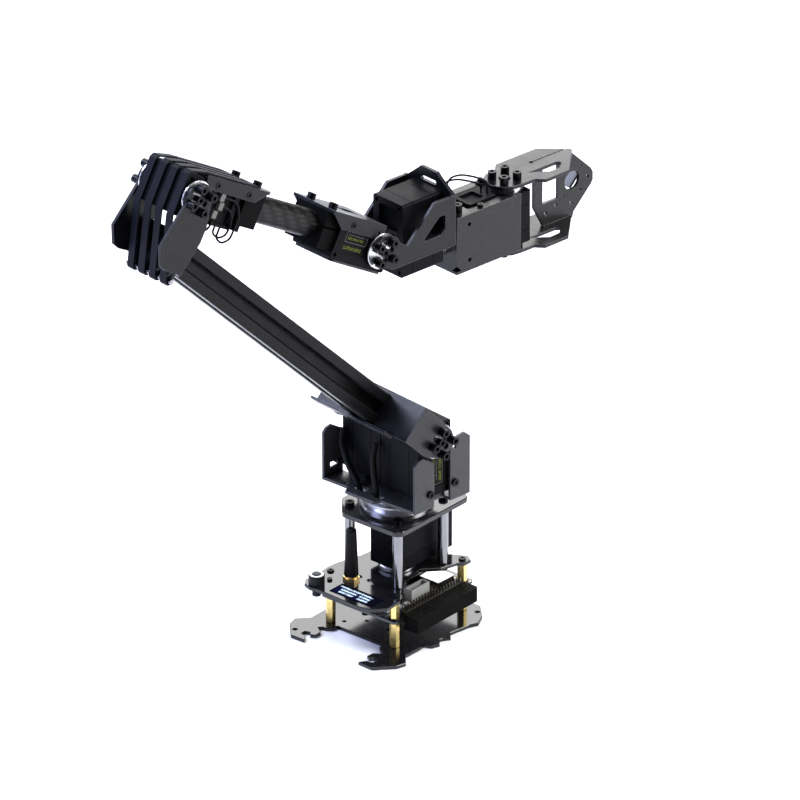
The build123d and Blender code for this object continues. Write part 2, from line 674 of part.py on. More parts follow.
HW = []
for (x, z, sg) in ((SLOT_NEAR[0] - WS_DX, WS_Z[0], -1), (SLOT_NEAR[1] + WS_DX, WS_Z[1], -1),
                   (SLOT_FAR[0] - WS_DX, WS_Z[0], 1), (SLOT_FAR[1] + WS_DX, WS_Z[1], 1)):
    HW.append(Plane(origin=TUR.at(x, z, WALL_OUT * sg), x_dir=TUR.u, z_dir=TUR.yd * sg))
housing_screws = cap_screws(HW, head_r=2.3, head_h=1.5, sock=1.0, shank_r=1.25, shank=2.0)
save(housing_screws, "housing_screws")


def cable(name, pts, r, radii_scale=0.45):
    """plain tube along straight runs joined by tangent arcs"""
    vs = [vec(p) for p in pts]
    radii = []
    for i in range(1, len(vs) - 1):
        a, b = vs[i] - vs[i - 1], vs[i + 1] - vs[i]
        t = a.get_angle(b)
        radii.append(radii_scale * min(a.length, b.length) / tan(radians(max(t, 0.5)) / 2))
    print(name, "radii", [round(x, 1) for x in radii])
    with BuildPart() as c:
        with BuildLine() as path:
            FilletPolyline(*vs, radius=radii)
        d = (vs[1] - vs[0]).normalized()
        with BuildSketch(Plane(origin=vs[0], z_dir=d)):
            Circle(r)
        sweep(path=path.line)
    return c


TC1 = [TUR.at(-14.6, 117.0, 29.0), TUR.at(-17.2, 110.0, 28.0), TUR.at(-18.9, 97.0, 19.5),
       TUR.at(-19.0, 90.5, 12.5), TUR.at(-19.0, 84.0, 9.4)]
TC2 = [TUR.at(-14.6, 117.0, 1.5), TUR.at(-17.4, 109.0, 1.0), TUR.at(-18.7, 97.0, -1.5),
       TUR.at(-18.6, 84.0, -4.0)]
turret_cable_a = cable("turret_cable_far", TC1, 1.9)
turret_cable_b = cable("turret_cable_near", TC2, 1.7)
with BuildPart() as turret_cables:
    add(turret_cable_a.part)
    add(turret_cable_b.part)
save(turret_cables, "turret_cables")

# ============================================================================
# UPPER ARM (turns about the shoulder axis)
# ============================================================================
SH_IN, SH_OUT = 35.2, 37.2
shoulder_horns = horn_pair([Plane(origin=TUR.at(0, SH_Z, (SH_IN - 0.02) * sg), x_dir=UPP.u,
                                  z_dir=TUR.yd * sg) for sg in (-1, 1)], 2.9)
save(shoulder_horns, "shoulder_horns")

WEB_U0, WEB_U1 = 24.5, 26.5
with BuildPart() as shoulder_bracket:
    for sg in (-1, 1):
        with BuildSketch(UPP.side(SH_OUT * sg)):
            with BuildLine():
                Polyline((WEB_U1, -12.2), (WEB_U1, 10.4), (10.0, 10.4), (0.8, 9.56), (-2.6, -9.24),
                         (6.0, -12.2), close=True)
            make_face()
            Circle(END_R)
        extrude(amount=slab(UPP, SH_OUT * sg, SH_IN * sg))
    with BuildSketch(UPP.front(WEB_U0)):
        with BuildLine():
            Polyline((-SH_OUT, -12.2), (SH_OUT, -12.2), (SH_OUT, 10.4), (-SH_OUT, 10.4), close=True)
        make_face()
    extrude(amount=-(WEB_U1 - WEB_U0))
    # folded lip along the web's lower edge
    with BuildSketch(UPP.side(-25.0)):
        with BuildLine():
            Polyline((WEB_U0, -12.2), (WEB_U0, -13.8), (32.0, -13.8), (32.0, -12.2), close=True)
        make_face()
    extrude(amount=slab(UPP, -25.0, SH_OUT))
    hp = [UPP.side(SH_OUT * sg) for sg in (-1, 1)]
    for sg in (-1, 1):
        pl = Plane(origin=UPP.at(0, 0, SH_OUT * sg), x_dir=UPP.u, z_dir=UPP.yd * sg)
        with BuildSketch(*ring_planes(pl, SCREW_PCD_R)):
            Circle(1.3)
        extrude(amount=-2.5, mode=Mode.SUBTRACT)
        # open cross that shows the horn between the screws
        with BuildSketch(pl):
            Circle(3.9)
            SlotOverall(14.4, 4.2)
            SlotOverall(14.4, 4.2, rotation=90)
        extrude(amount=-2.5, mode=Mode.SUBTRACT)
    # web: fixing holes to the profile's end
    with BuildSketch(UPP.front(WEB_U0)):
        with Locations((0, EXT_N)):
            Circle(2.6)
    extrude(amount=-(WEB_U1 - WEB_U0), mode=Mode.SUBTRACT)
print("shoulder bracket solids", len(shoulder_bracket.solids()))
save(shoulder_bracket, "shoulder_bracket")

# slotted aluminium profile
def slot_profile(a):
    h = a / 2
    return [(-4.2, h + 0.5), (-4.2, h), (-3.1, h - 1.5), (-3.1, h - 2.1), (-5.6, h - 2.1), (-5.6, h - 3.4),
            (-3.1, h - 5.6), (3.1, h - 5.6), (5.6, h - 3.4), (5.6, h - 2.1), (3.1, h - 2.1),
            (3.1, h - 1.5), (4.2, h), (4.2, h + 0.5)]


EXP = Plane(origin=UPP.at(EXT_U0, EXT_N, 0), x_dir=UPP.yd, z_dir=UPP.u)
with BuildPart() as extrusion:
    with BuildSketch(EXP):
        RectangleRounded(EXT_A, EXT_A, 1.2)
        Circle(2.1, mode=Mode.SUBTRACT)
        for ang in (0, 90, 180, 270):
            c, s_ = cos(radians(ang)), sin(radians(ang))
            pts = [(x * c - y * s_, x * s_ + y * c) for x, y in slot_profile(EXT_A)]
            with BuildLine():
                Polyline(*pts, close=True)
            make_face(mode=Mode.SUBTRACT)
    extrude(amount=EXT_U1 - EXT_U0)
save(extrusion, "arm_profile")

# elbow bracket: web on the profile's upper end, two side plates
PIN_U, PIN_N = 240.0, -16.8
with BuildPart() as elbow_bracket:
    for sg in (-1, 1):
        with BuildSketch(UPP.side(PLATE_OUT * sg)):
            with BuildLine():
                Polyline((EXT_U1, -12.0), (EXT_U1, 10.0), (241.0, 18.5), (249.24, 33.12),
                         (264.6, 23.0), (264.6, -5.6), (256.2, -13.9), (251.4, -14.2), (243.6, -12.0),
                         close=True)
            make_face()
            with Locations((EL_U, EL_N)):
                Circle(END_R)
        extrude(amount=slab(UPP, PLATE_OUT * sg, PLATE_IN * sg))
    with BuildSketch(UPP.front(EXT_U1)):
        with BuildLine():
            Polyline((-PLATE_OUT, -12.0), (PLATE_OUT, -12.0), (PLATE_OUT, 10.0), (-PLATE_OUT, 10.0),
                     close=True)
        make_face()
    extrude(amount=-2.0)
    # lip under the web that carries the band pin
    with BuildSketch(UPP.front(EXT_U1)):
        with BuildLine():
            Polyline((-16.8, -11.9), (16.8, -11.9), (16.8, PIN_N + 1.5), (-16.8, PIN_N + 1.5), close=True)
        make_face()
    extrude(amount=-2.0)
    for sg in (-1, 1):
        pl = Plane(origin=UPP.at(EL_U, EL_N, PLATE_OUT * sg), x_dir=UPP.u, z_dir=UPP.yd * sg)
        with BuildSketch(*ring_planes(pl, SCREW_PCD_R)):
            Circle(1.3)
        extrude(amount=-2.5, mode=Mode.SUBTRACT)
        with BuildSketch(pl):
            Circle(3.9)
            SlotOverall(14.4, 4.2)
            SlotOverall(14.4, 4.2, rotation=90)
        extrude(amount=-2.5, mode=Mode.SUBTRACT)
    with BuildSketch(UPP.front(EXT_U1)):
        with Locations((0, EXT_N)):
            Circle(2.6)
    extrude(amount=-2.0, mode=Mode.SUBTRACT)
print("elbow bracket solids", len(elbow_bracket.solids()))
save(elbow_bracket, "elbow_bracket")

with BuildPart() as profile_bolts:
    # button screws through both webs into the profile's core
    with BuildSketch(Plane(origin=UPP.at(WEB_U0, EXT_N, 0), x_dir=UPP.yd, z_dir=UPP.u)):
        Circle(4.4)
    extrude(amount=-2.4)
    with BuildSketch(Plane(origin=UPP.at(WEB_U0, EXT_N, 0), x_dir=UPP.yd, z_dir=UPP.u)):
        Circle(2.0)
    extrude(amount=12)
    with BuildSketch(Plane(origin=UPP.at(EXT_U1 + 2, EXT_N, 0), x_dir=UPP.yd, z_dir=UPP.u)):
        Circle(4.4)
    extrude(amount=2.4)
    with BuildSketch(Plane(origin=UPP.at(EXT_U1 + 2, EXT_N, 0), x_dir=UPP.yd, z_dir=UPP.u)):
        Circle(2.0)
    extrude(amount=-12)

with BuildPart() as band_pin:
    # cross pin that the elbow bands hook round
    with BuildSketch(UPP.side(-18.2, PIN_U, PIN_N)):
        Circle(1.5)
    extrude(amount=slab(UPP, -18.2, 18.2))
save(band_pin, "band_pin")

elbow_horns = horn_pair([Plane(origin=FOR.at(0, 0, (PLATE_IN - 0.02) * sg), x_dir=UPP.u,
                               z_dir=FOR.yd * sg) for sg in (-1, 1)], 1.25, stand=1.15)
save(elbow_horns, "elbow_horns")

upl = []
for sg in (-1, 1):
    a = Plane(origin=UPP.at(0, 0, SH_OUT * sg), x_dir=UPP.u, z_dir=UPP.yd * sg)
    upl += ring_planes(a, SCREW_PCD_R)
    b = Plane(origin=UPP.at(EL_U, EL_N, PLATE_OUT * sg), x_dir=UPP.u, z_dir=UPP.yd * sg)
    upl += ring_planes(b, SCREW_PCD_R)
upper_screws = cap_screws(upl, head_r=2.5, head_h=4.8, sock=1.35, shank_r=1.2, shank=3.2)
with BuildPart() as upper_centre:
    for sg, (cu, cn, yy) in [(s_, q) for s_ in (-1, 1) for q in ((0, 0, SH_IN), (EL_U, EL_N, PLATE_IN))]:
        pl = Plane(origin=UPP.at(cu, cn, yy * sg), x_dir=UPP.u, z_dir=UPP.yd * sg)
        with BuildSketch(pl):
            Circle(2.6)
        extrude(amount=3.6)
        with BuildSketch(pl.offset(3.6)):
            RegularPolygon(1.35, 6)
        extrude(amount=-2.0, mode=Mode.SUBTRACT)
        with BuildSketch(pl):
            Circle(1.2)
        extrude(amount=-3.6)
with BuildPart() as upper_fasteners:
    add(upper_screws.part)
    add(upper_centre.part)
    add(profile_bolts.part)
save(upper_fasteners, "upper_arm_screws")

# ============================================================================
# FOREARM (turns about the elbow axis)
# ============================================================================
RECESS = 1.6                          # shallow pocket for the lead plugs, near face
elbow_case = servo(Plane(origin=FOR.at(0, 0, SV_D / 2), x_dir=FOR.u, z_dir=FOR.yd * -1), label=0)
with BuildPart() as elbow_servo:
    add(elbow_case.part)
    with BuildSketch(FOR.side(-SV_D / 2)):
        with Locations((24.2, -1.0)):
            RectangleRounded(15.6, 19.0, 0.8)
    extrude(amount=slab(FOR, 0, RECESS), mode=Mode.SUBTRACT)
save(elbow_servo, "elbow_servo")

COV_Y = 17.05                         # outside of the cover flanges
COV_T = 1.2
COV_N0, COV_N1 = 12.7, 14.4
RC_U0, RC_U1, RC_U2, RC_U3 = 42.0, 45.0, 45.6, 57.6   # rear clamp: wall, groove, block
FC_U0, FC_U1 = 110.9, 121.8                         # front clamp
BOLT_R_U, BOLT_F_U, BOLT_Y = 51.8, 116.4, 9.0
CS_REAR = ((14.2, 10.0), (40.4, 9.7))
CS_FRONT = ((129.6, 9.3), (151.2, 9.4))
with BuildPart() as elbow_cover:
    with BuildSketch(FOR.over(COV_N0)):
        with BuildLine():
            Polyline((3.6, -COV_Y), (55.0, -COV_Y), (60.6, -12.6), (60.6, 12.6), (55.0, COV_Y),
                     (3.6, COV_Y), close=True)
        make_face()
        with Locations((BOLT_R_U, BOLT_Y), (BOLT_R_U, -BOLT_Y)):
            Circle(1.3, mode=Mode.SUBTRACT)
    extrude(amount=COV_N1 - COV_N0)
    for sg in (-1, 1):
        with BuildSketch(FOR.side(COV_Y * sg)):
            with BuildLine():
                Polyline((3.6, COV_N1), (55.0, COV_N1), (54.2, 12.6), (46.4, 6.4), (10.0, 6.8),
                         (4.6, 9.8), close=True)
            make_face()
            with Locations((0, 0)):
                Circle(11.4, mode=Mode.SUBTRACT)
            with Locations(*CS_REAR):
                Circle(1.2, mode=Mode.SUBTRACT)
        extrude(amount=slab(FOR, COV_Y * sg, (COV_Y - COV_T) * sg))
print("elbow cover solids", len(elbow_cover.solids()))
save(elbow_cover, "elbow_cover")


def clamp_block(spans, n1, side_slit):
    """block round the tube; spans: (u0, u1, n0, half width) pieces that share faces"""
    with BuildPart() as c:
        for (u0, u1, n0, half) in spans:
            with BuildSketch(FOR.front(u0)):
                with BuildLine():
                    Polyline((-half, n0), (half, n0), (half, n1), (-half, n1), close=True)
                make_face()
                with Locations((0, TUBE_N)):
                    Circle(TUBE_R, mode=Mode.SUBTRACT)
            extrude(amount=(u1 - u0) * (-FOR.s))
        # clamp slit beside the tube
        if side_slit:
            ua, ub = spans[-1][0], spans[-1][1]
            half = spans[-1][3]
            with BuildSketch(FOR.front(ua)):
                with Locations((-half / 2 - 3, TUBE_N + 1.7)):
                    Rectangle(half - 4.0, 1.0)
            extrude(amount=(ub - ua) * (-FOR.s), mode=Mode.SUBTRACT)
    return c


clamp_rear = clamp_block([(RC_U0, RC_U1, -12.3, 14.2), (RC_U1, RC_U2, -8.0, 12.4),
                          (RC_U2, RC_U3, -8.8, 13.2)], COV_N0, False)
save(clamp_rear, "tube_clamp_rear")
clamp_front = clamp_block([(FC_U0, FC_U1, -8.8, 13.2)], COV_N0, True)
print("clamp solids", len(clamp_rear.solids()), len(clamp_front.solids()))
save(clamp_front, "tube_clamp_front")

with BuildPart() as tube:
    with BuildSketch(FOR.front(RC_U0, TUBE_N)):
        Circle(TUBE_R - 0.02)
        Circle(TUBE_R - 1.5, mode=Mode.SUBTRACT)
    extrude(amount=(FC_U1 - RC_U0) * (-FOR.s))
save(tube, "forearm_tube")

wrist_case = servo(Plane(origin=FOR.at(FO_LEN, 0, -SV_D / 2), x_dir=FOR.u * -1, z_dir=FOR.yd),
                   label=-1)
save(wrist_case, "wrist_servo")

with BuildPart() as wrist_cover:
    with BuildSketch(FOR.over(COV_N0)):
        with BuildLine():
            Polyline((110.6, -COV_Y), (155.4, -COV_Y), (155.4, COV_Y), (110.6, COV_Y), close=True)
        make_face()
        with Locations((BOLT_F_U, BOLT_Y), (BOLT_F_U, -BOLT_Y)):
            Circle(1.3, mode=Mode.SUBTRACT)
        with Locations((138.0, 0)):
            RectangleRounded(14.0, 9.0, 2.0, mode=Mode.SUBTRACT)
    extrude(amount=COV_N1 - COV_N0)
    for sg in (-1, 1):
        with BuildSketch(FOR.side(COV_Y * sg)):
            with BuildLine():
                Polyline((110.6, COV_N1), (155.4, COV_N1), (155.4, 8.4), (152.6, 5.4),
                         (121.2, 5.4), (111.4, COV_N0 - 0.2), close=True)
            make_face()
            with Locations((FO_LEN, 0)):
                Circle(6.4, mode=Mode.SUBTRACT)
            with Locations(*CS_FRONT):
                Circle(1.2, mode=Mode.SUBTRACT)
        extrude(amount=slab(FOR, COV_Y * sg, (COV_Y - COV_T) * sg))
print("wrist cover solids", len(wrist_cover.solids()))
save(wrist_cover, "wrist_cover")

with BuildPart() as wrist_lower_plate:
    # slim plate under the wrist servo, inside the case's outline
    with BuildSketch(FOR.over(-13.7)):
        with BuildLine():
            Polyline((123.4, -13.6), (125.4, -15.6), (164.4, -15.6), (166.4, -13.6), (166.4, 13.6),
                     (164.4, 15.6), (125.4, 15.6), (123.4, 13.6), close=True)
        make_face()
        with Locations((129.0, 9.0), (129.0, -9.0)):
            Circle(1.3, mode=Mode.SUBTRACT)
    extrude(amount=1.3)
save(wrist_lower_plate, "wrist_lower_plate")

fpl = [FOR.over(COV_N1, u, BOLT_Y * sg) for u in (BOLT_R_U, BOLT_F_U) for sg in (-1, 1)]
forearm_screws = cap_screws(fpl, head_r=2.55, head_h=3.3, sock=1.4, shank_r=1.25, shank=1.65)

with BuildPart() as cover_screws:
    # flush countersunk screws in the covers' side flanges
    for sg in (-1, 1):
        for (u, n) in CS_REAR + CS_FRONT[:1]:
            pl = Plane(origin=FOR.at(u, n, COV_Y * sg), x_dir=FOR.u, z_dir=FOR.yd * sg)
            with BuildSketch(pl):
                Circle(2.0)
            extrude(amount=0.3)
            with BuildSketch(pl):
                Circle(1.15)
            extrude(amount=-COV_T)
            with BuildSketch(pl.offset(0.3)):
                RegularPolygon(0.95, 6)
            extrude(amount=-1.0, mode=Mode.SUBTRACT)
        # this one lies under the wrist horn, so it is sunk flush
        pl = Plane(origin=FOR.at(*CS_FRONT[1], COV_Y * sg), x_dir=FOR.u, z_dir=FOR.yd * sg)
        with BuildSketch(pl):
            Circle(1.15)
        extrude(amount=-COV_T)
        with BuildSketch(pl):
            RegularPolygon(0.8, 6)
        extrude(amount=-0.7, mode=Mode.SUBTRACT)
with BuildPart() as forearm_fasteners:
    add(forearm_screws.part)
    add(cover_screws.part)
save(forearm_fasteners, "forearm_screws")

# servo lead plugs and hanging leads on the elbow servo -------------------------
PLUG_Y0, PLUG_Y1 = -(SV_D / 2 - RECESS), -(SV_D / 2 + 0.9)
PLUGS = ((21.6, 4.2), (22.6, -0.8), (20.0, -6.0))
with BuildPart() as elbow_plugs:
    for (u, n) in PLUGS:
        with BuildSketch(FOR.side(PLUG_Y0)):
            with Locations((u, n)):
                Rectangle(3.4, 4.4)
        extrude(amount=slab(FOR, PLUG_Y0, PLUG_Y1))
save(elbow_plugs, "lead_plugs")

LEAD_R = 0.6
LA = [FOR.at(23.35, 4.6, -16.0), FOR.at(33.6, 4.2, -16.6), FOR.at(38.8, -3.0, -17.0),
      FOR.at(38.2, -17.0, -16.8), FOR.at(34.4, -20.6, -15.2), FOR.at(30.6, -18.6, -13.6),
      FOR.at(30.6, -12.35, -13.6)]
LB = [FOR.at(24.35, -0.4, -16.0), FOR.at(31.4, -1.4, -16.6), FOR.at(34.8, -8.0, -16.8),
      FOR.at(34.6, -15.4, -16.2), FOR.at(31.4, -18.4, -14.4), FOR.at(27.8, -16.8, -12.4),
      FOR.at(27.8, -12.35, -12.4)]
LC = [FOR.at(20.0, -8.25, -16.1), FOR.at(19.0, -14.4, -16.9), FOR.at(12.8, -19.4, -15.4),
      FOR.at(7.0, -17.4, -13.6), FOR.at(7.0, -12.35, -13.6)]
lead_sets = [cable("elbow_lead", pts, LEAD_R, 0.42) for pts in (LA, LB, LC)]
with BuildPart() as elbow_leads:
    for c_ in lead_sets:
        add(c_.part)
save(elbow_leads, "elbow_leads")


# ============================================================================
# WRIST (turns about the wrist pitch axis)
# ============================================================================
wrist_horns = horn_pair([Plane(origin=TUR.at(WX, WZ, (PLATE_IN - 0.02) * sg), x_dir=TUR.u,
                               z_dir=TUR.yd * sg) for sg in (-1, 1)], 1.25, stand=1.15)
save(wrist_horns, "wrist_horns")

WR_X0, WR_X1 = 24.5, 26.5
with BuildPart() as wrist_bracket:
    for sg in (-1, 1):
        with BuildSketch(TUR.side(PLATE_OUT * sg)):
            with BuildLine():
                Polyline((WR_X1, 236.5), (WR_X1, 267.4), (10.7, 267.4), (-9.8, 247.6),
                         (-15.6, 251.2), (WX + 9.6, WZ + 6.0), (WX + 4.6, WZ + 9.4), (WX - 1.0, WZ + 9.8),
                         (WX - 5.0, WZ + 7.4), (WX - 6.4, WZ + 2.0), (WX - 4.4, WZ - 5.6),
                         (WX + 0.4, WZ - 9.8), (WX + 6.0, WZ - 12.9), close=True)
            make_face()
            with BuildLine():
                Polyline((14.2, 257.9), (17.9, 257.9), (18.6, 256.9), (18.6, 249.3), (15.2, 246.4),
                         (3.4, 246.2), (2.6, 247.8), close=True)
            make_face(mode=Mode.SUBTRACT)
        extrude(amount=slab(TUR, PLATE_OUT * sg, PLATE_IN * sg))
    with BuildSketch(TUR.front(WR_X0)):
        with BuildLine():
            Polyline((-PLATE_OUT, 236.5), (PLATE_OUT, 236.5), (PLATE_OUT, 267.6), (18.4, 267.6),
                     (9.4, 274.8), (6.4, 277.4), (-6.8, 277.4), (-9.6, 274.8), (-PLATE_OUT, 267.6),
                     close=True)
        make_face()
        with Locations((0, 270.6)):
            SlotOverall(12.8, 2.6, mode=Mode.SUBTRACT)
    extrude(amount=WR_X1 - WR_X0)
    with BuildSketch(TUR.front(WR_X0, ROLL_Z)):
        Circle(HORN_R + 0.8)
    extrude(amount=WR_X1 - WR_X0, mode=Mode.SUBTRACT)
    for sg in (-1, 1):
        pl = Plane(origin=TUR.at(WX, WZ, PLATE_OUT * sg), x_dir=TUR.u, z_dir=TUR.yd * sg)
        with BuildSketch(*ring_planes(pl, SCREW_PCD_R)):
            Circle(1.3)
        extrude(amount=-2.5, mode=Mode.SUBTRACT)
        with BuildSketch(pl):
            Circle(3.9)
            SlotOverall(14.4, 4.2)
            SlotOverall(14.4, 4.2, rotation=90)
        extrude(amount=-2.5, mode=Mode.SUBTRACT)
    # outline of the roll servo's case is held by two tabs above and below the web
    with BuildSketch(TUR.front(WR_X0)):
        with Locations((9.2, 262.5), (-9.2, 262.5)):
            Circle(1.3)
    extrude(amount=WR_X1 - WR_X0, mode=Mode.SUBTRACT)
print("wrist bracket solids", len(wrist_bracket.solids()))
save(wrist_bracket, "wrist_bracket")

ROLL_D = 30.9
roll_case = servo(Plane(origin=TUR.at(WR_X0 - ROLL_D, ROLL_Z, 0), x_dir=(0, 0, 1), z_dir=TUR.u),
                  depth=ROLL_D, bore_bot=False, window=False)
# a recessed square window in the face that looks back along the arm
with BuildPart() as roll_servo:
    add(roll_case.part)
    with BuildSketch(Plane(origin=TUR.at(WR_X0 - ROLL_D, ROLL_Z + 24.0, 0), x_dir=TUR.yd,
                           z_dir=TUR.u * -1)):
        RectangleRounded(15.0, 15.0, 1.0)
    extrude(amount=-2.4, mode=Mode.SUBTRACT)
save(roll_servo, "roll_servo")

wpl = []
for sg in (-1, 1):
    wpl += ring_planes(Plane(origin=TUR.at(WX, WZ, PLATE_OUT * sg), x_dir=TUR.u, z_dir=TUR.yd * sg),
                       SCREW_PCD_R)
with BuildPart() as wrist_screws:
    add(cap_screws(wpl, head_r=2.5, head_h=4.0, sock=1.3, shank_r=1.2, shank=3.2).part)
    for sg in (-1, 1):
        pl = Plane(origin=TUR.at(WX, WZ, PLATE_IN * sg), x_dir=TUR.u, z_dir=TUR.yd * sg)
        with BuildSketch(pl):
            Circle(2.6)
        extrude(amount=3.2)
        with BuildSketch(pl.offset(3.2)):
            RegularPolygon(1.3, 6)
        extrude(amount=-1.8, mode=Mode.SUBTRACT)
        with BuildSketch(pl):
            Circle(1.2)
        extrude(amount=-3.6)
    # two screws hold the roll servo to the web
    for y in (9.2, -9.2):
        pl = Plane(origin=TUR.at(WR_X1, 262.5, y), x_dir=TUR.yd, z_dir=TUR.u)
        with BuildSketch(pl):
            Circle(2.2)
        extrude(amount=1.6)
        with BuildSketch(pl):
            Circle(1.2)
        extrude(amount=-2.0)
save(wrist_screws, "wrist_screws")

# ============================================================================
# TOOL CARRIER (rolls about the wrist's long axis)
# ============================================================================
CR_X0, CR_X1 = 32.6, 34.4
roll_horn = horn(Plane(origin=TUR.at(CR_X0 - 0.02, ROLL_Z, 0), x_dir=TUR.yd, z_dir=TUR.u),
                 CR_X0 - 0.02 - WR_X0 - 0.5, shaft=5.0)
save(roll_horn, "roll_horn")

CZ0, CZ1 = 213.3, 248.7
CY = 15.0
T6_Z0 = 215.2
T6_D = 31.6
with BuildPart() as carrier:
    # near and far side plates
    for sg in (-1, 1):
        with BuildSketch(TUR.side(CY * sg)):
            with BuildLine():
                if sg < 0:
                    Polyline((CR_X0, 219.0), (38.2, CZ0), (82.4, CZ0), (82.4, CZ1), (36.6, CZ1),
                             (CR_X0, CZ1), close=True)
                else:
                    Polyline((CR_X0, 219.0), (38.2, CZ0), (56.0, CZ0), (60.0, 222.0), (60.0, 240.0),
                             (56.0, CZ1), (CR_X0, CZ1), close=True)
            make_face()
            with Locations((42.2, 242.2), (42.6, 220.0)):
                Circle(1.4, mode=Mode.SUBTRACT)
        extrude(amount=slab(TUR, CY * sg, (CY - 1.6) * sg))
    # back plate on the roll horn
    with BuildSketch(TUR.front(CR_X0)):
        with BuildLine():
            Polyline((-CY, 219.0), (-CY, CZ1), (CY, CZ1), (CY, 219.0), (9.5, CZ0), (-9.5, CZ0), close=True)
        make_face()
    extrude(amount=CR_X1 - CR_X0)
    # top and bottom flanges, cut round the servo's cap and shaft
    for z0, z1 in ((CZ1 - 1.6, CZ1), (CZ0, CZ0 + 1.6)):
        with BuildSketch(TUR.over(z0)):
            with BuildLine():
                Polyline((CR_X0, -CY), (82.4, -CY), (82.4, -11.9), (72.0, -11.9), (70.0, -9.4),
                         (46.0, -9.4), (46.0, 9.6), (70.0, 9.6), (72.0, 11.9), (82.4, 11.9), (82.4, CY),
                         (CR_X0, CY), close=True)
            make_face()
            with Locations((40.0, -7.6)):
                Circle(1.3, mode=Mode.SUBTRACT)
        extrude(amount=z1 - z0)
    pl = Plane(origin=TUR.at(CR_X1, ROLL_Z, 0), x_dir=TUR.yd, z_dir=TUR.u)
    with BuildSketch(pl):
        Circle(1.3)
    extrude(amount=-3, mode=Mode.SUBTRACT)
    with BuildSketch(*ring_planes(pl, SCREW_PCD_R)):
        Circle(1.3)
    extrude(amount=-3, mode=Mode.SUBTRACT)
print("carrier solids", len(carrier.solids()))
save(carrier, "tool_carrier")

T6 = Plane(origin=TUR.at(YAW6_X, T6_Z0, 0), x_dir=TUR.u * -1, z_dir=(0, 0, 1))
tool_case = servo(T6, depth=T6_D)
with BuildPart() as tool_servo:
    add(tool_case.part)
    # raised cap over the board end of the case, with a recess in it
    with BuildSketch(T6.offset(T6_D)):
        with Locations((24.6, 0.6)):
            RectangleRounded(20.6, 15.6, 1.0)
    extrude(amount=3.1)
    with BuildSketch(T6.offset(T6_D + 3.1)):
        with Locations((26.6, 0.4)):
            RectangleRounded(11.0, 9.6, 0.8)
    extrude(amount=-1.5, mode=Mode.SUBTRACT)
save(tool_servo, "tool_servo")

# two leads arch from the carrier's back plate over to the servo's cap
CAP_Z = T6_Z0 + T6_D + 3.1
TLA = [TUR.at(33.5, CZ1, -3.0), TUR.at(33.5, 261.0, -3.0), TUR.at(38.0, 268.6, -3.0),
       TUR.at(46.5, 267.8, -3.0), TUR.at(57.5, 263.0, -3.0), TUR.at(67.2, 256.8, -3.0),
       TUR.at(67.2, CAP_Z, -3.0)]
TLB = [TUR.at(33.5, CZ1, 0.4), TUR.at(33.5, 258.0, 0.4), TUR.at(38.0, 265.0, 0.4),
       TUR.at(46.5, 263.8, 0.4), TUR.at(56.5, 259.4, 0.4), TUR.at(65.6, 254.4, 0.4),
       TUR.at(65.6, CAP_Z, 0.4)]
tool_lead_a = cable("tool_lead_outer", TLA, 0.6, 0.42)
tool_lead_b = cable("tool_lead_inner", TLB, 0.6, 0.42)
with BuildPart() as tool_leads:
    add(tool_lead_a.part)
    add(tool_lead_b.part)
save(tool_leads, "tool_leads")

with BuildPart() as carrier_screws:
    pl = Plane(origin=TUR.at(CR_X1, ROLL_Z, 0), x_dir=TUR.yd, z_dir=TUR.u)
    add(cap_screws(ring_planes(pl, SCREW_PCD_R), head_r=2.4, head_h=2.4, sock=1.3, shank_r=1.2,
                   shank=5.0).part)
    add(cap_screws([TUR.over(CZ1, 40.0, -7.6)], head_r=2.6, head_h=4.4, sock=1.4, shank_r=1.2,
                   shank=4.0).part)
with BuildPart() as flange_screws:
    for (x, y) in ((54.0, -11.4), (77.0, 13.2), (39.0, 12.2)):
        with BuildSketch(TUR.over(CZ1, x, y)):
            Circle(1.7)
        extrude(amount=1.5)
        with BuildSketch(TUR.over(CZ1 + 1.5, x, y)):
            RegularPolygon(0.8, 6)
        extrude(amount=-0.8, mode=Mode.SUBTRACT)
with BuildPart() as carrier_fasteners:
    add(carrier_screws.part)
    add(flange_screws.part)
save(carrier_fasteners, "carrier_screws")

# ============================================================================
# TOOL BRACKET (yaws about the tool servo's shaft)
# ============================================================================
tool_horn = horn(Plane(origin=TUR.at(YAW6_X, TOOL_TOP0 - 0.02, 0), x_dir=TUR.u, z_dir=(0, 0, 1)),
                 TOOL_TOP0 - 0.02 - (T6_Z0 + T6_D) - 0.35, shaft=5.0)
save(tool_horn, "tool_horn")
tool_foot = horn(Plane(origin=TUR.at(YAW6_X, TOOL_BOT1 + 0.02, 0), x_dir=TUR.u, z_dir=(0, 0, -1)),
                 T6_Z0 - 0.35 - (TOOL_BOT1 + 0.02), shaft=5.0)
save(tool_foot, "tool_idler")

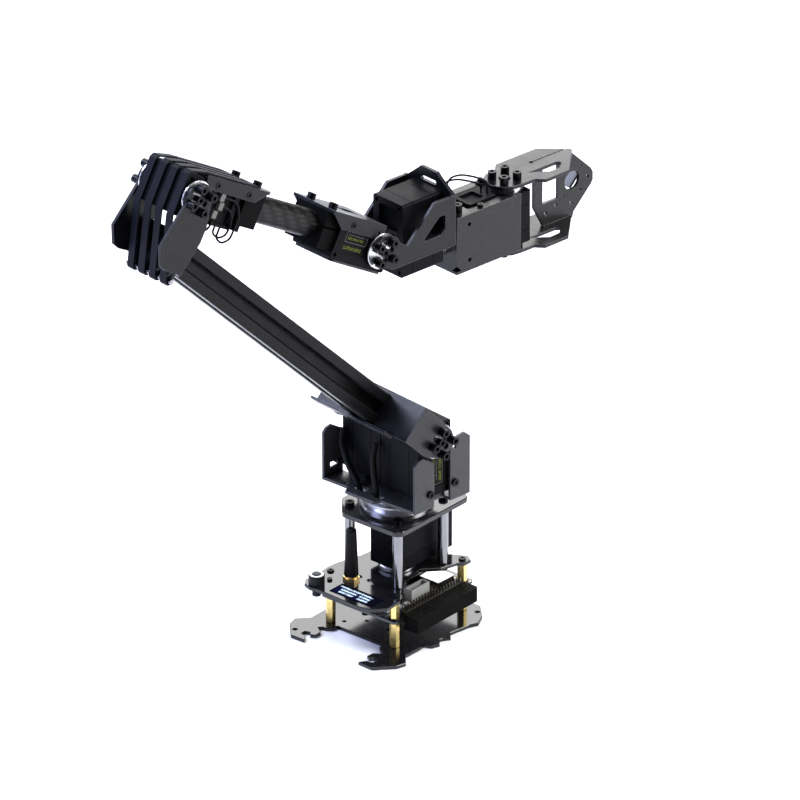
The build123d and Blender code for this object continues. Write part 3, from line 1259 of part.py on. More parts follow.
TY = Vector(0, 0, 1)
TOOL_PLAN = [(118.4, -16.6), (100.0, -17.0), (95.6, -12.2), (YAW6_X + 2.0, -12.0),
             (YAW6_X - 4.0, -11.3), (YAW6_X - 9.0, -8.0), (YAW6_X - 11.8, -2.6),
             (YAW6_X - 11.8, 3.2), (YAW6_X - 9.0, 8.2), (YAW6_X - 4.0, 11.4), (87.0, 12.0),
             (92.6, 17.0), (124.2, 17.0), (137.2, 4.4), (137.2, 0.8)]
WEB_Y0, WEB_Y1 = 2.0, 4.0
with BuildPart() as tool_bracket:
    for z0, z1 in ((TOOL_TOP0, TOOL_TOP1), (TOOL_BOT0, TOOL_BOT1)):
        with BuildSketch(TUR.over(z0)):
            with BuildLine():
                Polyline(*TOOL_PLAN, close=True)
            make_face()
            with BuildLine():
                Polyline((98.4, -3.6), (120.0, -3.6), (122.0, -5.2), (121.2, -7.2), (116.6, -10.6),
                         (109.0, -10.8), (105.2, -7.6), close=True)
            make_face(mode=Mode.SUBTRACT)
            if z0 == TOOL_TOP0:
                with Locations((109.4, 5.4)):
                    Circle(1.3, mode=Mode.SUBTRACT)
                with Locations((123.6, 5.4)):
                    Rectangle(28.4, 0.8, mode=Mode.SUBTRACT)
        extrude(amount=z1 - z0)
    with BuildSketch(TUR.side(WEB_Y0)):
        with BuildLine():
            Polyline((108.8, TOOL_TOP1), (138.4, TOOL_TOP1), (138.4, 250.6), (153.4, 236.6),
                     (155.2, 233.4), (155.2, 228.6), (154.0, 226.4), (140.2, 213.0),
                     (139.0, TOOL_BOT0), (117.0, TOOL_BOT0), (115.0, 213.6), (110.4, 221.8),
                     (108.8, 224.6), close=True)
        make_face()
        with BuildLine():
            Polyline((115.4, TOOL_TOP0), (127.6, TOOL_TOP0), (127.6, 225.2), (115.4, 225.2), close=True)
        make_face(mode=Mode.SUBTRACT)
        with Locations((138.6, 233.0)):
            Circle(5.8, mode=Mode.SUBTRACT)
        with Locations((126.1, 221.2), (118.1, 218.4), (151.0, 231.9), (138.2, 218.8)):
            Circle(1.25, mode=Mode.SUBTRACT)
        with Locations((145.4, 240.4), (131.6, 240.4), (131.6, 225.4), (145.4, 225.4)):
            Circle(1.0, mode=Mode.SUBTRACT)
    extrude(amount=slab(TUR, WEB_Y0, WEB_Y1))
    # stiffening tab folded back behind the nose
    with BuildSketch(TUR.side(WEB_Y1)):
        with BuildLine():
            Polyline((148.6, 238.4), (149.8, 237.2), (139.4, 226.8), (138.2, 228.0), close=True)
        make_face()
    extrude(amount=slab(TUR, WEB_Y1, 10.5))
    for z, sg in ((TOOL_TOP1, 1), (TOOL_BOT0, -1)):
        pl = Plane(origin=TUR.at(YAW6_X, z, 0), x_dir=TUR.u, z_dir=(0, 0, sg))
        with BuildSketch(*ring_planes(pl, SCREW_PCD_R)):
            Circle(1.3)
        extrude(amount=-2.5, mode=Mode.SUBTRACT)
        with BuildSketch(pl):
            Circle(3.4)
        extrude(amount=-2.5, mode=Mode.SUBTRACT)
print("tool bracket solids", len(tool_bracket.solids()))
save(tool_bracket, "tool_bracket")

tpl = []
for z, sg in ((TOOL_TOP1, 1), (TOOL_BOT0, -1)):
    tpl += ring_planes(Plane(origin=TUR.at(YAW6_X, z, 0), x_dir=TUR.u, z_dir=(0, 0, sg)),
                       SCREW_PCD_R)
tool_screws = cap_screws(tpl[:4], head_r=2.5, head_h=4.4, sock=1.4, shank_r=1.2, shank=1.9)
with BuildPart() as tool_screw_set:
    add(tool_screws.part)
    add(cap_screws(tpl[4:], head_r=2.4, head_h=2.2, sock=1.3, shank_r=1.2, shank=1.9).part)
save(tool_screw_set, "tool_screws")

# ============================================================================
# ELBOW BANDS: four flat straps from the elbow cover over the servo's end
# down to the cross pin
# ============================================================================
BAND_Y = (13.5, 4.5, -4.5, -13.5)
BAND_W, BAND_T = 5.0, 1.0


def to_for(u, n):
    p = UPP.at(u, n, 0) - FOR.o
    return (p.dot(FOR.u), p.dot(FOR.n))


PIN_F = to_for(PIN_U, PIN_N)
print("pin in forearm frame", PIN_F)
BN = COV_N1 + 0.75                    # centre line of the strap over the cover
PR = 1.5 + 0.3 + BAND_T / 2           # centre line radius round the pin
dux, duy = to_for(PIN_U + 1.0, PIN_N)
UDX, UDY = dux - PIN_F[0], duy - PIN_F[1]        # arm's own direction in the forearm plane
BAND_LINE = [(45.6, BN), (3.0, BN), (-8.6, 13.6), (-10.3, 11.6), (-10.4, -13.2)]
hook = [(PIN_F[0] + PR * (UDX * cos(radians(t)) - UDY * sin(radians(t))),
         PIN_F[1] + PR * (UDY * cos(radians(t)) + UDX * sin(radians(t)))) for t in (60, 100, 140, 180)]
print("hook", [(round(a_, 1), round(b_, 1)) for a_, b_ in hook], "dir", round(UDX, 3), round(UDY, 3))
with BuildPart() as bands:
    for y in BAND_Y:
        with BuildSketch(FOR.side(y - BAND_W / 2)):
            with BuildLine():
                Polyline(*BAND_LINE, *hook)
            trace(line_width=BAND_T)
        extrude(amount=slab(FOR, 0, BAND_W))
    # each pair of straps is one loop that turns behind its cover bolt
    for ym in (9.0, -9.0):
        with BuildSketch(FOR.over(BN - BAND_T / 2, 45.2, ym)):
            Rectangle(2.2, 5.4)
        extrude(amount=BAND_T)
print("band solids", len(bands.solids()))
save(bands, "elbow_bands")
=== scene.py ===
import bpy
import bmesh
import math
from mathutils import Matrix, Vector
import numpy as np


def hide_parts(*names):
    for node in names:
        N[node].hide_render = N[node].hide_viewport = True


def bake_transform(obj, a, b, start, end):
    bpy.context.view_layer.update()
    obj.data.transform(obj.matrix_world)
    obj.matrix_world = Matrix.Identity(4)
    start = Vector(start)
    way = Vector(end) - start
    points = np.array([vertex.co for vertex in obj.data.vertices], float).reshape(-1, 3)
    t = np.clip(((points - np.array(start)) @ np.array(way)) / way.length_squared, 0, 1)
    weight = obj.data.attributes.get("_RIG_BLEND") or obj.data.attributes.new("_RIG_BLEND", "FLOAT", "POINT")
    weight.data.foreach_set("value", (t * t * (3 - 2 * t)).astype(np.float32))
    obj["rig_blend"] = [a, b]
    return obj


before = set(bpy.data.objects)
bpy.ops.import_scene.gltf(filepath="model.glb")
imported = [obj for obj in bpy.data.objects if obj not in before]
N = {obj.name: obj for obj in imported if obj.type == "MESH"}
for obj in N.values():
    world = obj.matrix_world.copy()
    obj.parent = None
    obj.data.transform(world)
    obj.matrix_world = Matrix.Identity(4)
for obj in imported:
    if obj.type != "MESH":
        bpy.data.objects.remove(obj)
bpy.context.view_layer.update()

# ---------------------------------------------------------------------------
# arm frames in metres, the same figures as the part's own
# ---------------------------------------------------------------------------
YAW = math.radians(-6.9)
FX = Vector((math.cos(YAW), math.sin(YAW), 0))
FY = Vector((-math.sin(YAW), math.cos(YAW), 0))
UP = Vector((0, 0, 1))
MM = 0.001
MID_TOP = 34.2


class Link:
    def __init__(self, ox, oz, ang, flip=False):
        a = math.radians(ang)
        self.o = (FX * ox + UP * oz) * MM
        self.u = FX * math.cos(a) + UP * math.sin(a)
        n = UP * math.cos(a) - FX * math.sin(a)
        self.n = -n if flip else n
        self.y = FY

    def at(self, u, n, y):
        return self.o + (self.u * u + self.n * n + self.y * y) * MM


TUR = Link(0, 0, 0)
UPP = Link(0, 126.8, 136.0, True)
FOR = Link(-165.57, 326.17, -29.12)
WX, WZ = -27.82, 249.43

# ---------------------------------------------------------------------------
# camera at the photograph's angle
# ---------------------------------------------------------------------------
cam_data = bpy.data.cameras.new("camera")
cam = bpy.data.objects.new("camera", cam_data)
bpy.context.scene.collection.objects.link(cam)
cam_data.sensor_width = 36.0
cam_data.lens = 36.0 * 9400.0 / 800.0
cam_data.clip_start, cam_data.clip_end = 0.5, 60.0
A, E = math.radians(49.6), math.radians(26.6)
look = Vector((math.sin(A) * math.cos(E), math.cos(A) * math.cos(E), -math.sin(E)))
right = Vector((math.cos(A), -math.sin(A), 0))
upv = right.cross(look)
D0 = 9400.0 / 1.74
pos = look * -D0 + right * (3.5 * D0 / 9400) + upv * (218.0 * D0 / 9400)
cam.matrix_world = Matrix((
    (right.x, upv.x, -look.x, pos.x * MM),
    (right.y, upv.y, -look.y, pos.y * MM),
    (right.z, upv.z, -look.z, pos.z * MM),
    (0, 0, 0, 1)))
bpy.context.scene.camera = cam

# ---------------------------------------------------------------------------
# floor, backdrop, lights
# ---------------------------------------------------------------------------


def new_mesh(name, verts, faces, smooth=False):
    me = bpy.data.meshes.new(name)
    me.from_pydata([tuple(v) for v in verts], [], faces)
    me.validate()
    me.update()
    ob = bpy.data.objects.new(name, me)
    bpy.context.scene.collection.objects.link(ob)
    if smooth:
        for p in me.polygons:
            p.use_smooth = True
    return ob


G = 8.0
floor = new_mesh("floor", [(-G, -G, 0), (G, -G, 0), (G, G, 0), (-G, G, 0)], [(0, 1, 2, 3)])
floor.location.z = -0.0002

world = bpy.data.worlds.new("world")
bpy.context.scene.world = world
world.use_nodes = True
wb = world.node_tree.nodes["Background"]
wb.inputs["Color"].default_value = (0.9, 0.93, 1, 1)
wb.inputs["Strength"].default_value = 0.10
bpy.context.scene.view_settings.view_transform = "Standard"
bpy.context.scene.view_settings.look = "None"


def area(name, loc, aim, size, power, color=(1, 1, 1), size_y=None):
    d = bpy.data.lights.new(name, "AREA")
    d.energy = power
    d.color = color
    d.shape = "RECTANGLE"
    d.size = size
    d.size_y = size_y or size
    o = bpy.data.objects.new(name, d)
    bpy.context.scene.collection.objects.link(o)
    o.location = loc
    o.rotation_mode = "QUATERNION"
    o.rotation_quaternion = (Vector(aim) - Vector(loc)).to_track_quat("-Z", "Y")
    return o


area("overhead", (0.1, 0.0, 2.2), (0, 0, 0), 2.2, 47)
area("key", (0.75, -1.35, 0.95), (0.05, 0, 0.2), 1.1, 46)
area("back", (2.05, 1.75, 1.35), (0, 0, 0.1), 2.0, 48, size_y=1.6)
area("left", (-1.5, 0.75, 0.85), (0, 0, 0.2), 0.9, 26, color=(0.56, 0.62, 1.0))
area("top_left", (-0.45, 1.75, 1.85), (-0.1, 0, 0.25), 0.9, 62, color=(0.72, 0.77, 1.0))

# ---------------------------------------------------------------------------
# materials
# ---------------------------------------------------------------------------


class Mat:
    """Small wrapper round a node tree."""

    def __init__(self, name):
        self.m = bpy.data.materials.new(name)
        self.m.use_nodes = True
        self.t = self.m.node_tree
        self.b = self.t.nodes["Principled BSDF"]
        self.out = self.t.nodes["Material Output"]
        self.tc = self.t.nodes.new("ShaderNodeTexCoord")

    def set(self, **kw):
        for k, v in kw.items():
            self.b.inputs[k.replace("_", " ")].default_value = v
        return self

    def link(self, a, b):
        self.t.links.new(a, b)

    def node(self, kind, **props):
        n = self.t.nodes.new(kind)
        for k, v in props.items():
            setattr(n, k, v)
        return n

    def coord(self, scale=1.0, rot=None):
        mp = self.node("ShaderNodeMapping")
        s = scale if isinstance(scale, (tuple, list)) else (scale,) * 3
        mp.inputs["Scale"].default_value = s
        if rot:
            mp.inputs["Rotation"].default_value = rot
        self.link(self.tc.outputs["Object"], mp.inputs["Vector"])
        return mp.outputs["Vector"]

    def noise(self, scale, detail=3.0, rough=0.55, vec=None, stretch=None, distortion=0.0):
        n = self.node("ShaderNodeTexNoise")
        n.inputs["Scale"].default_value = scale
        n.inputs["Detail"].default_value = detail
        n.inputs["Roughness"].default_value = rough
        n.inputs["Distortion"].default_value = distortion
        if stretch is not None:
            vec = self.coord(stretch)
        self.link(vec if vec is not None else self.tc.outputs["Object"], n.inputs["Vector"])
        return n.outputs["Fac"]

    def voronoi(self, scale, feature="F1", out="Distance"):
        n = self.node("ShaderNodeTexVoronoi", feature=feature)
        n.inputs["Scale"].default_value = scale
        self.link(self.tc.outputs["Object"], n.inputs["Vector"])
        return n.outputs[out]

    def ramp(self, fac, stops, interp="LINEAR"):
        r = self.node("ShaderNodeValToRGB")
        r.color_ramp.interpolation = interp
        el = r.color_ramp.elements
        while len(el) < len(stops):
            el.new(0.5)
        for e, (p, c) in zip(el, stops):
            e.position = p
            e.color = c if len(c) == 4 else (*c, 1)
        self.link(fac, r.inputs["Fac"])
        return r.outputs["Color"]

    def math(self, op, a, b=None, c=None, clamp=False):
        n = self.node("ShaderNodeMath", operation=op, use_clamp=clamp)
        for i, v in enumerate((a, b, c)):
            if v is None:
                continue
            if isinstance(v, (int, float)):
                n.inputs[i].default_value = v
            else:
                self.link(v, n.inputs[i])
        return n.outputs[0]

    def maprange(self, v, a, b, c, d):
        n = self.node("ShaderNodeMapRange")
        self.link(v, n.inputs["Value"])
        for k, x in zip(("From Min", "From Max", "To Min", "To Max"), (a, b, c, d)):
            n.inputs[k].default_value = x
        return n.outputs["Result"]

    def dot(self, direction, offset=0.0, scale=1.0):
        """(P - offset) . direction, in mm times scale"""
        n = self.node("ShaderNodeVectorMath", operation="DOT_PRODUCT")
        self.link(self.tc.outputs["Object"], n.inputs[0])
        n.inputs[1].default_value = tuple(Vector(direction) * 1000.0 * scale)
        return self.math("SUBTRACT", n.outputs["Value"], offset * scale)

    def mix(self, fac, a, b):
        n = self.node("ShaderNodeMix", data_type="RGBA")
        if isinstance(fac, (int, float)):
            n.inputs[0].default_value = fac
        else:
            self.link(fac, n.inputs[0])
        for v, i in ((a, 6), (b, 7)):
            if isinstance(v, tuple):
                n.inputs[i].default_value = (*v, 1) if len(v) == 3 else v
            else:
                self.link(v, n.inputs[i])
        return n.outputs[2]

    def bump(self, height, strength=0.2, dist=0.0002, normal=None):
        n = self.node("ShaderNodeBump")
        n.inputs["Strength"].default_value = strength
        n.inputs["Distance"].default_value = dist
        self.link(height, n.inputs["Height"])
        if normal is not None:
            self.link(normal, n.inputs["Normal"])
        return n.outputs["Normal"]

    def between(self, v, lo, hi):
        return self.math("MULTIPLY", self.math("GREATER_THAN", v, lo), self.math("LESS_THAN", v, hi))

    def facing(self, direction, lo, hi):
        """mask of the surfaces that face one way on the part, such as the top of a socket strip"""
        n = self.node("ShaderNodeVectorMath", operation="DOT_PRODUCT")
        self.link(self.tc.outputs["Normal"], n.inputs[0])
        n.inputs[1].default_value = tuple(Vector(direction).normalized())
        return self.maprange(n.outputs["Value"], lo, hi, 0.0, 1.0)

    def base(self, c):
        self.link(c, self.b.inputs["Base Color"])

    def rough(self, v):
        self.link(v, self.b.inputs["Roughness"])

    def metal(self, v):
        self.link(v, self.b.inputs["Metallic"])

    def normal(self, v):
        self.link(v, self.b.inputs["Normal"])

    def edge_wear(self, lo=0.52, hi=0.6):
        """pointiness as a mask on convex edges"""
        g = self.node("ShaderNodeNewGeometry")
        return self.maprange(g.outputs["Pointiness"], lo, hi, 0.0, 1.0)


def grey(v):
    return (v, v, v * 1.02)


def coated(name, col, rough=0.42, metallic=0.0, grain=2600.0, strength=0.12, vary=0.2, spec=0.3,
           edge_highlight=(0.10, 0.10, 0.13), edge_w=0.0006):
    """anodised sheet: fine grain, cloudy variation, rubbed patches, and a painted highlight along the edges, a paler
    base colour broken up in patches
    """
    m = Mat(name)
    cloud = m.noise(38.0, 4.0, 0.6)
    fine = m.noise(grain, 2.0, 0.6)
    c0 = tuple(x * (1 - vary) for x in col)
    c1 = tuple(x * (1 + vary) for x in col)
    base = m.mix(m.maprange(cloud, 0.3, 0.7, 0, 1), c0, c1)
    speck = m.maprange(fine, 0.62, 0.75, 0.0, 0.35)
    base = m.mix(speck, base, tuple(min(1, x * 2.0 + 0.004) for x in col))
    smear = m.noise(90.0, 5.0, 0.65, distortion=0.6)
    bev = m.node("ShaderNodeBevel", samples=4)
    bev.inputs["Radius"].default_value = edge_w
    geo = m.node("ShaderNodeNewGeometry")
    dp = m.node("ShaderNodeVectorMath", operation="DOT_PRODUCT")
    m.link(bev.outputs["Normal"], dp.inputs[0])
    m.link(geo.outputs["Normal"], dp.inputs[1])
    # painted highlight: where the bevel normal turns away from the face normal, the base colour is mixed towards the
    # pale edge colour, broken up by the smear noise
    rim = m.maprange(dp.outputs["Value"], 0.97, 0.80, 0.0, 1.0)
    rim = m.math("MULTIPLY", rim, m.maprange(smear, 0.3, 0.6, 0.45, 1.0), clamp=True)
    m.base(m.mix(rim, base, edge_highlight))
    r = m.math("ADD", m.maprange(smear, 0.3, 0.7, rough - 0.07, rough + 0.08),
               m.maprange(fine, 0.3, 0.7, -0.03, 0.03))
    m.rough(r)
    m.set(Metallic=metallic, Specular_IOR_Level=spec)
    m.normal(m.bump(fine, strength, 0.00006, normal=bev.outputs["Normal"]))
    return m.m


def gloss_plate(name, col=(0.006, 0.006, 0.007)):
    """polished glass-fibre sheet: near mirror, faint weave under the surface, dust and hairlines"""
    m = Mat(name)
    w1 = m.node("ShaderNodeTexWave", wave_type="BANDS", bands_direction="X")
    w1.inputs["Scale"].default_value = 520
    w2 = m.node("ShaderNodeTexWave", wave_type="BANDS", bands_direction="Y")
    w2.inputs["Scale"].default_value = 520
    for w in (w1, w2):
        w.inputs["Distortion"].default_value = 1.2
        m.link(m.tc.outputs["Object"], w.inputs["Vector"])
    weave = m.math("MULTIPLY", w1.outputs["Fac"], w2.outputs["Fac"])
    m.base(m.mix(weave, tuple(x * 0.7 for x in col), tuple(x * 1.9 for x in col)))
    dust = m.noise(900.0, 2.0, 0.7)
    cloud = m.noise(26.0, 4.0, 0.6, distortion=0.4)
    m.rough(m.math("ADD", m.maprange(cloud, 0.35, 0.75, 0.10, 0.17), m.maprange(dust, 0.66, 0.8, 0.0, 0.2)))
    m.set(Specular_IOR_Level=0.46)
    lines = m.noise(60.0, 2.0, 0.5, stretch=(12.0, 0.6, 1.0))
    m.normal(m.bump(lines, 0.03, 0.00005))
    return m.m


def turned_metal(name, col, rough, centre, axis, rings=1600.0, strength=0.08, spots=True):
    """metal turned on a lathe: fine rings round an axis"""
    m = Mat(name)
    a = Vector(axis).normalized()
    b1 = a.orthogonal().normalized()
    b2 = a.cross(b1)
    c = Vector(centre)
    d1 = m.dot(b1, c.dot(b1) * 1000)
    d2 = m.dot(b2, c.dot(b2) * 1000)
    rad = m.math("SQRT", m.math("ADD", m.math("MULTIPLY", d1, d1), m.math("MULTIPLY", d2, d2)))
    ring = m.math("SINE", m.math("MULTIPLY", rad, rings / 60.0))
    jit = m.noise(240.0, 2.0, 0.5)
    m.base(m.mix(m.maprange(jit, 0.3, 0.7, 0, 1), tuple(x * 0.9 for x in col), tuple(min(1, x * 1.06) for x in col)))
    m.rough(m.math("ADD", m.maprange(ring, -1, 1, rough - 0.03, rough + 0.05),
                   m.maprange(m.noise(60.0, 4.0), 0.3, 0.7, -0.03, 0.06)))
    m.set(Metallic=1.0)
    m.normal(m.bump(ring, strength, 0.00003))
    return m.m


def metal(name, col, rough=0.25, grain=1200.0, strength=0.06, stretch=None, dark=0.0):
    m = Mat(name)
    n1 = m.noise(grain, 3.0, 0.6, stretch=stretch)
    cloud = m.noise(70.0, 4.0, 0.6)
    m.base(m.mix(m.maprange(cloud, 0.35, 0.7, 0, 1), tuple(x * (0.86 - dark) for x in col), col))
    m.rough(m.math("ADD", m.maprange(n1, 0.3, 0.7, rough - 0.05, rough + 0.08),
                   m.maprange(cloud, 0.3, 0.7, -0.03, 0.05)))
    m.set(Metallic=1.0)
    m.normal(m.bump(n1, strength, 0.00003))
    return m.m


def plastic(name, col, rough=0.42, grain=1500.0, strength=0.22, spec=0.5, vary=0.15, depth=0.00008):
    """moulded plastic with a fine spark-eroded texture"""
    m = Mat(name)
    pits = m.noise(grain, 3.0, 0.65)
    cells = m.voronoi(grain * 0.8)
    tex = m.math("ADD", pits, m.math("MULTIPLY", cells, 0.5))
    cloud = m.noise(55.0, 3.0)
    m.base(m.mix(m.maprange(cloud, 0.3, 0.7, 0, 1), tuple(x * (1 - vary) for x in col),
                 tuple(min(1, x * (1 + vary)) for x in col)))
    m.rough(m.math("ADD", m.maprange(tex, 0.4, 1.0, rough - 0.06, rough + 0.08),
                   m.maprange(cloud, 0.3, 0.7, -0.05, 0.05)))
    m.set(Specular_IOR_Level=spec)
    m.normal(m.bump(tex, strength, depth))
    return m.m


def dashes(m, along, across, step=0.42):
    """short broken strokes of no meaning along one line"""
    comb = m.node("ShaderNodeCombineXYZ")
    m.link(m.math("SNAP", along, step), comb.inputs["X"])
    m.link(m.math("SNAP", across, step * 0.9), comb.inputs["Y"])
    wn = m.node("ShaderNodeTexWhiteNoise", noise_dimensions="2D")
    m.link(comb.outputs["Vector"], wn.inputs["Vector"])
    return m.math("GREATER_THAN", wn.outputs["Value"], 0.5)


def labelled_case(name, along, across, side, limit, frames, rows):
    """servo case with a satin black label that carries only plain strokes and a thin frame.
    along, across: (direction, offset) in mm; side: (direction, offset) outward of the label face"""
    m = Mat(name)
    a = m.dot(*along)
    b = m.dot(*across)
    w = m.dot(*side)
    face = m.math("GREATER_THAN", w, limit)
    col = (0.0028, 0.0029, 0.0038)
    pits = m.noise(1500.0, 3.0, 0.65)
    cells = m.voronoi(1200.0)
    tex = m.math("ADD", pits, m.math("MULTIPLY", cells, 0.5))
    base = m.mix(m.maprange(m.noise(55.0, 3.0), 0.3, 0.7, 0, 1), tuple(x * 0.85 for x in col),
                 tuple(x * 1.2 for x in col))
    marks = None
    for (a0, a1, b0, b1, c) in rows:
        k = m.math("MULTIPLY", m.between(a, a0, a1), m.between(b, b0, b1))
        k = m.math("MULTIPLY", m.math("MULTIPLY", k, face), dashes(m, a, b))
        base = m.mix(k, base, c)
    for (a0, a1, b0, b1) in frames:
        outer = m.math("MULTIPLY", m.between(a, a0, a1), m.between(b, b0, b1))
        inner = m.math("MULTIPLY", m.between(a, a0 + 0.3, a1 - 0.3), m.between(b, b0 + 0.3, b1 - 0.3))
        k = m.math("MULTIPLY", m.math("SUBTRACT", outer, inner), face)
        base = m.mix(k, base, (0.085, 0.085, 0.08))
    m.base(base)
    m.rough(m.maprange(tex, 0.4, 1.0, 0.36, 0.50))
    m.set(Specular_IOR_Level=0.045)
    m.normal(m.bump(tex, 0.22, 0.00008))
    return m.m


def carbon(name, link, n_axis, radius=8.0, tow=2.6):
    """2 x 2 twill wrapped round the tube's own axis"""
    m = Mat(name)
    du = m.dot(link.u, link.o.dot(link.u) * 1000)
    dn = m.dot(link.n, link.o.dot(link.n) * 1000 + n_axis)
    dy = m.dot(link.y, link.o.dot(link.y) * 1000)
    ang = m.math("ARCTAN2", dy, dn)
    arc = m.math("MULTIPLY", ang, radius)
    a = m.math("DIVIDE", arc, 2 * math.pi * radius / 20.0)
    b = m.math("DIVIDE", du, tow)
    ia = m.math("FLOOR", a)
    ib = m.math("FLOOR", b)
    k = m.math("FLOORED_MODULO", m.math("ADD", ia, ib), 4.0)
    over = m.math("LESS_THAN", k, 1.5)
    fa = m.math("SUBTRACT", m.math("FRACT", a), 0.5)
    fb = m.math("SUBTRACT", m.math("FRACT", b), 0.5)
    # each tow is a rounded ridge that dips at its ends
    wa = m.math("SUBTRACT", 1.0, m.math("MULTIPLY", m.math("MULTIPLY", fa, fa), 3.2))
    wb = m.math("SUBTRACT", 1.0, m.math("MULTIPLY", m.math("MULTIPLY", fb, fb), 3.2))
    ha = m.math("MULTIPLY", wa, over)
    hb = m.math("MULTIPLY", wb, m.math("SUBTRACT", 1.0, over))
    h = m.math("ADD", ha, hb)
    strand_a = m.math("SINE", m.math("MULTIPLY", fa, 60.0))
    strand_b = m.math("SINE", m.math("MULTIPLY", fb, 60.0))
    fine = m.math("ADD", m.math("MULTIPLY", strand_a, over),
                  m.math("MULTIPLY", strand_b, m.math("SUBTRACT", 1.0, over)))
    # painted sheen and painted shade: the tows lying one way get a lighter base colour than those crossing them, and
    # the base colour darkens in the dips at the tow ends
    col = m.mix(over, (0.0012, 0.0012, 0.0014), (0.013, 0.013, 0.014))
    col = m.mix(m.maprange(h, 0.2, 0.95, 0, 1), (0.001, 0.001, 0.001), col)
    m.base(col)
    m.rough(m.maprange(fine, -1, 1, 0.34, 0.46))
    m.set(Specular_IOR_Level=0.16)
    m.normal(m.bump(m.math("ADD", h, m.math("MULTIPLY", fine, 0.05)), 0.35, 0.00018))
    return m.m


def rubber(name, col, rough=0.6, grain=900.0, strength=0.15, spec=0.1):
    m = Mat(name)
    fine = m.noise(grain, 4.0, 0.65)
    cloud = m.noise(80.0, 3.0)
    m.base(m.mix(m.maprange(cloud, 0.3, 0.7, 0, 1), tuple(x * 0.75 for x in col), tuple(x * 1.35 for x in col)))
    m.rough(m.maprange(fine, 0.3, 0.7, rough - 0.08, rough + 0.1))
    m.set(Specular_IOR_Level=spec)
    m.normal(m.bump(fine, strength, 0.0001))
    return m.m


def two_tone(name, z_mm, low, high, low_rough=0.45, high_rough=0.25, high_metal=1.0, grain=1400.0):
    """moulded strip with metal pins above a height"""
    m = Mat(name)
    z = m.dot((0, 0, 1))
    mask = m.math("GREATER_THAN", z, z_mm)
    pits = m.noise(grain, 3.0, 0.6)
    cloud = m.noise(120.0, 3.0)
    lo = m.mix(m.maprange(cloud, 0.3, 0.7, 0, 1), tuple(x * 0.8 for x in low), tuple(x * 1.3 for x in low))
    hi = m.mix(m.maprange(cloud, 0.3, 0.7, 0, 1), tuple(x * 0.8 for x in high), high)
    m.base(m.mix(mask, lo, hi))
    m.metal(m.math("MULTIPLY", mask, high_metal))
    m.rough(m.math("ADD", m.math("MULTIPLY_ADD", mask, high_rough - low_rough, low_rough),
                   m.maprange(pits, 0.3, 0.7, -0.05, 0.05)))
    m.normal(m.bump(pits, 0.15, 0.00006))
    return m.m


def board_mat(name):
    """dark solder mask with copper runs, plated holes and pads"""
    m = Mat(name)
    mp = m.node("ShaderNodeMapping")
    mp.inputs["Scale"].default_value = (1, 1, 0.0)
    m.link(m.tc.outputs["Object"], mp.inputs["Vector"])
    v = m.node("ShaderNodeTexVoronoi", feature="F1", distance="MANHATTAN")
    v.inputs["Scale"].default_value = 330
    v.inputs["Randomness"].default_value = 0.0
    m.link(mp.outputs["Vector"], v.inputs["Vector"])
    pads = m.math("LESS_THAN", v.outputs["Distance"], 0.16)
    reg = m.node("ShaderNodeTexVoronoi", feature="F1")
    reg.inputs["Scale"].default_value = 70
    m.link(mp.outputs["Vector"], reg.inputs["Vector"])
    pick = m.math("GREATER_THAN", m.node_rgb(reg.outputs["Color"]), 0.66)
    pads = m.math("MULTIPLY", pads, pick)
    tr = m.node("ShaderNodeTexVoronoi", feature="DISTANCE_TO_EDGE", distance="EUCLIDEAN")
    tr.inputs["Scale"].default_value = 150
    m.link(mp.outputs["Vector"], tr.inputs["Vector"])
    runs = m.maprange(tr.outputs["Distance"], 0.04, 0.07, 1.0, 0.0)
    col = m.mix(runs, (0.004, 0.006, 0.008), (0.012, 0.018, 0.02))
    col = m.mix(pads, col, (0.72, 0.6, 0.35))
    m.base(col)
    m.metal(pads)
    m.rough(m.maprange(m.noise(300.0, 3.0), 0.3, 0.7, 0.22, 0.36))
    m.set(Coat_Weight=0.3, Coat_Roughness=0.2)
    m.normal(m.bump(runs, 0.2, 0.00006))
    return m.m


def _rgb(self, color):
    s = self.node("ShaderNodeSeparateColor")
    self.link(color, s.inputs["Color"])
    return s.outputs["Red"]


Mat.node_rgb = _rgb


def display_mat(name):
    """blue-black glass over a panel with rows of plain lit dashes, no lettering"""
    m = Mat(name)
    x = m.dot((1, 0, 0))
    y = m.dot((0, 1, 0))
    inx = m.math("MULTIPLY", m.math("GREATER_THAN", x, -47.6), m.math("LESS_THAN", x, -39.4))
    iny = m.math("MULTIPLY", m.math("GREATER_THAN", y, -17.0), m.math("LESS_THAN", y, 7.4))
    lit_zone = m.math("MULTIPLY", inx, iny)
    rows = m.math("GREATER_THAN", m.math("SINE", m.math("MULTIPLY", x, 2.15)), -0.25)
    words = m.math("GREATER_THAN", m.noise(150.0, 0.0, 0.5, stretch=(0.35, 1.0, 0.0)), 0.43)
    rows = m.math("MULTIPLY", rows, words)
    step = m.math("SNAP", y, 0.42)
    comb = m.node("ShaderNodeCombineXYZ")
    m.link(m.math("SNAP", x, 0.42), comb.inputs["X"])
    m.link(step, comb.inputs["Y"])
    wn = m.node("ShaderNodeTexWhiteNoise", noise_dimensions="2D")
    m.link(comb.outputs["Vector"], wn.inputs["Vector"])
    dash = m.math("GREATER_THAN", wn.outputs["Value"], 0.30)
    lit = m.math("MULTIPLY", m.math("MULTIPLY", rows, dash), lit_zone)
    m.base(m.mix(lit_zone, (0.002, 0.002, 0.004), (0.002, 0.002, 0.007)))
    glow = m.mix(lit_zone, (0.0005, 0.0005, 0.003), (0.003, 0.004, 0.03))
    m.link(m.mix(lit, glow, (0.62, 0.80, 1.0)), m.b.inputs["Emission Color"])
    m.set(Emission_Strength=1.5, Specular_IOR_Level=0.0)
    m.rough(m.maprange(m.noise(500.0, 2.0), 0.3, 0.7, 0.16, 0.26))
    m.normal(m.bump(m.noise(700.0, 2.0), 0.02, 0.00003))
    return m.m


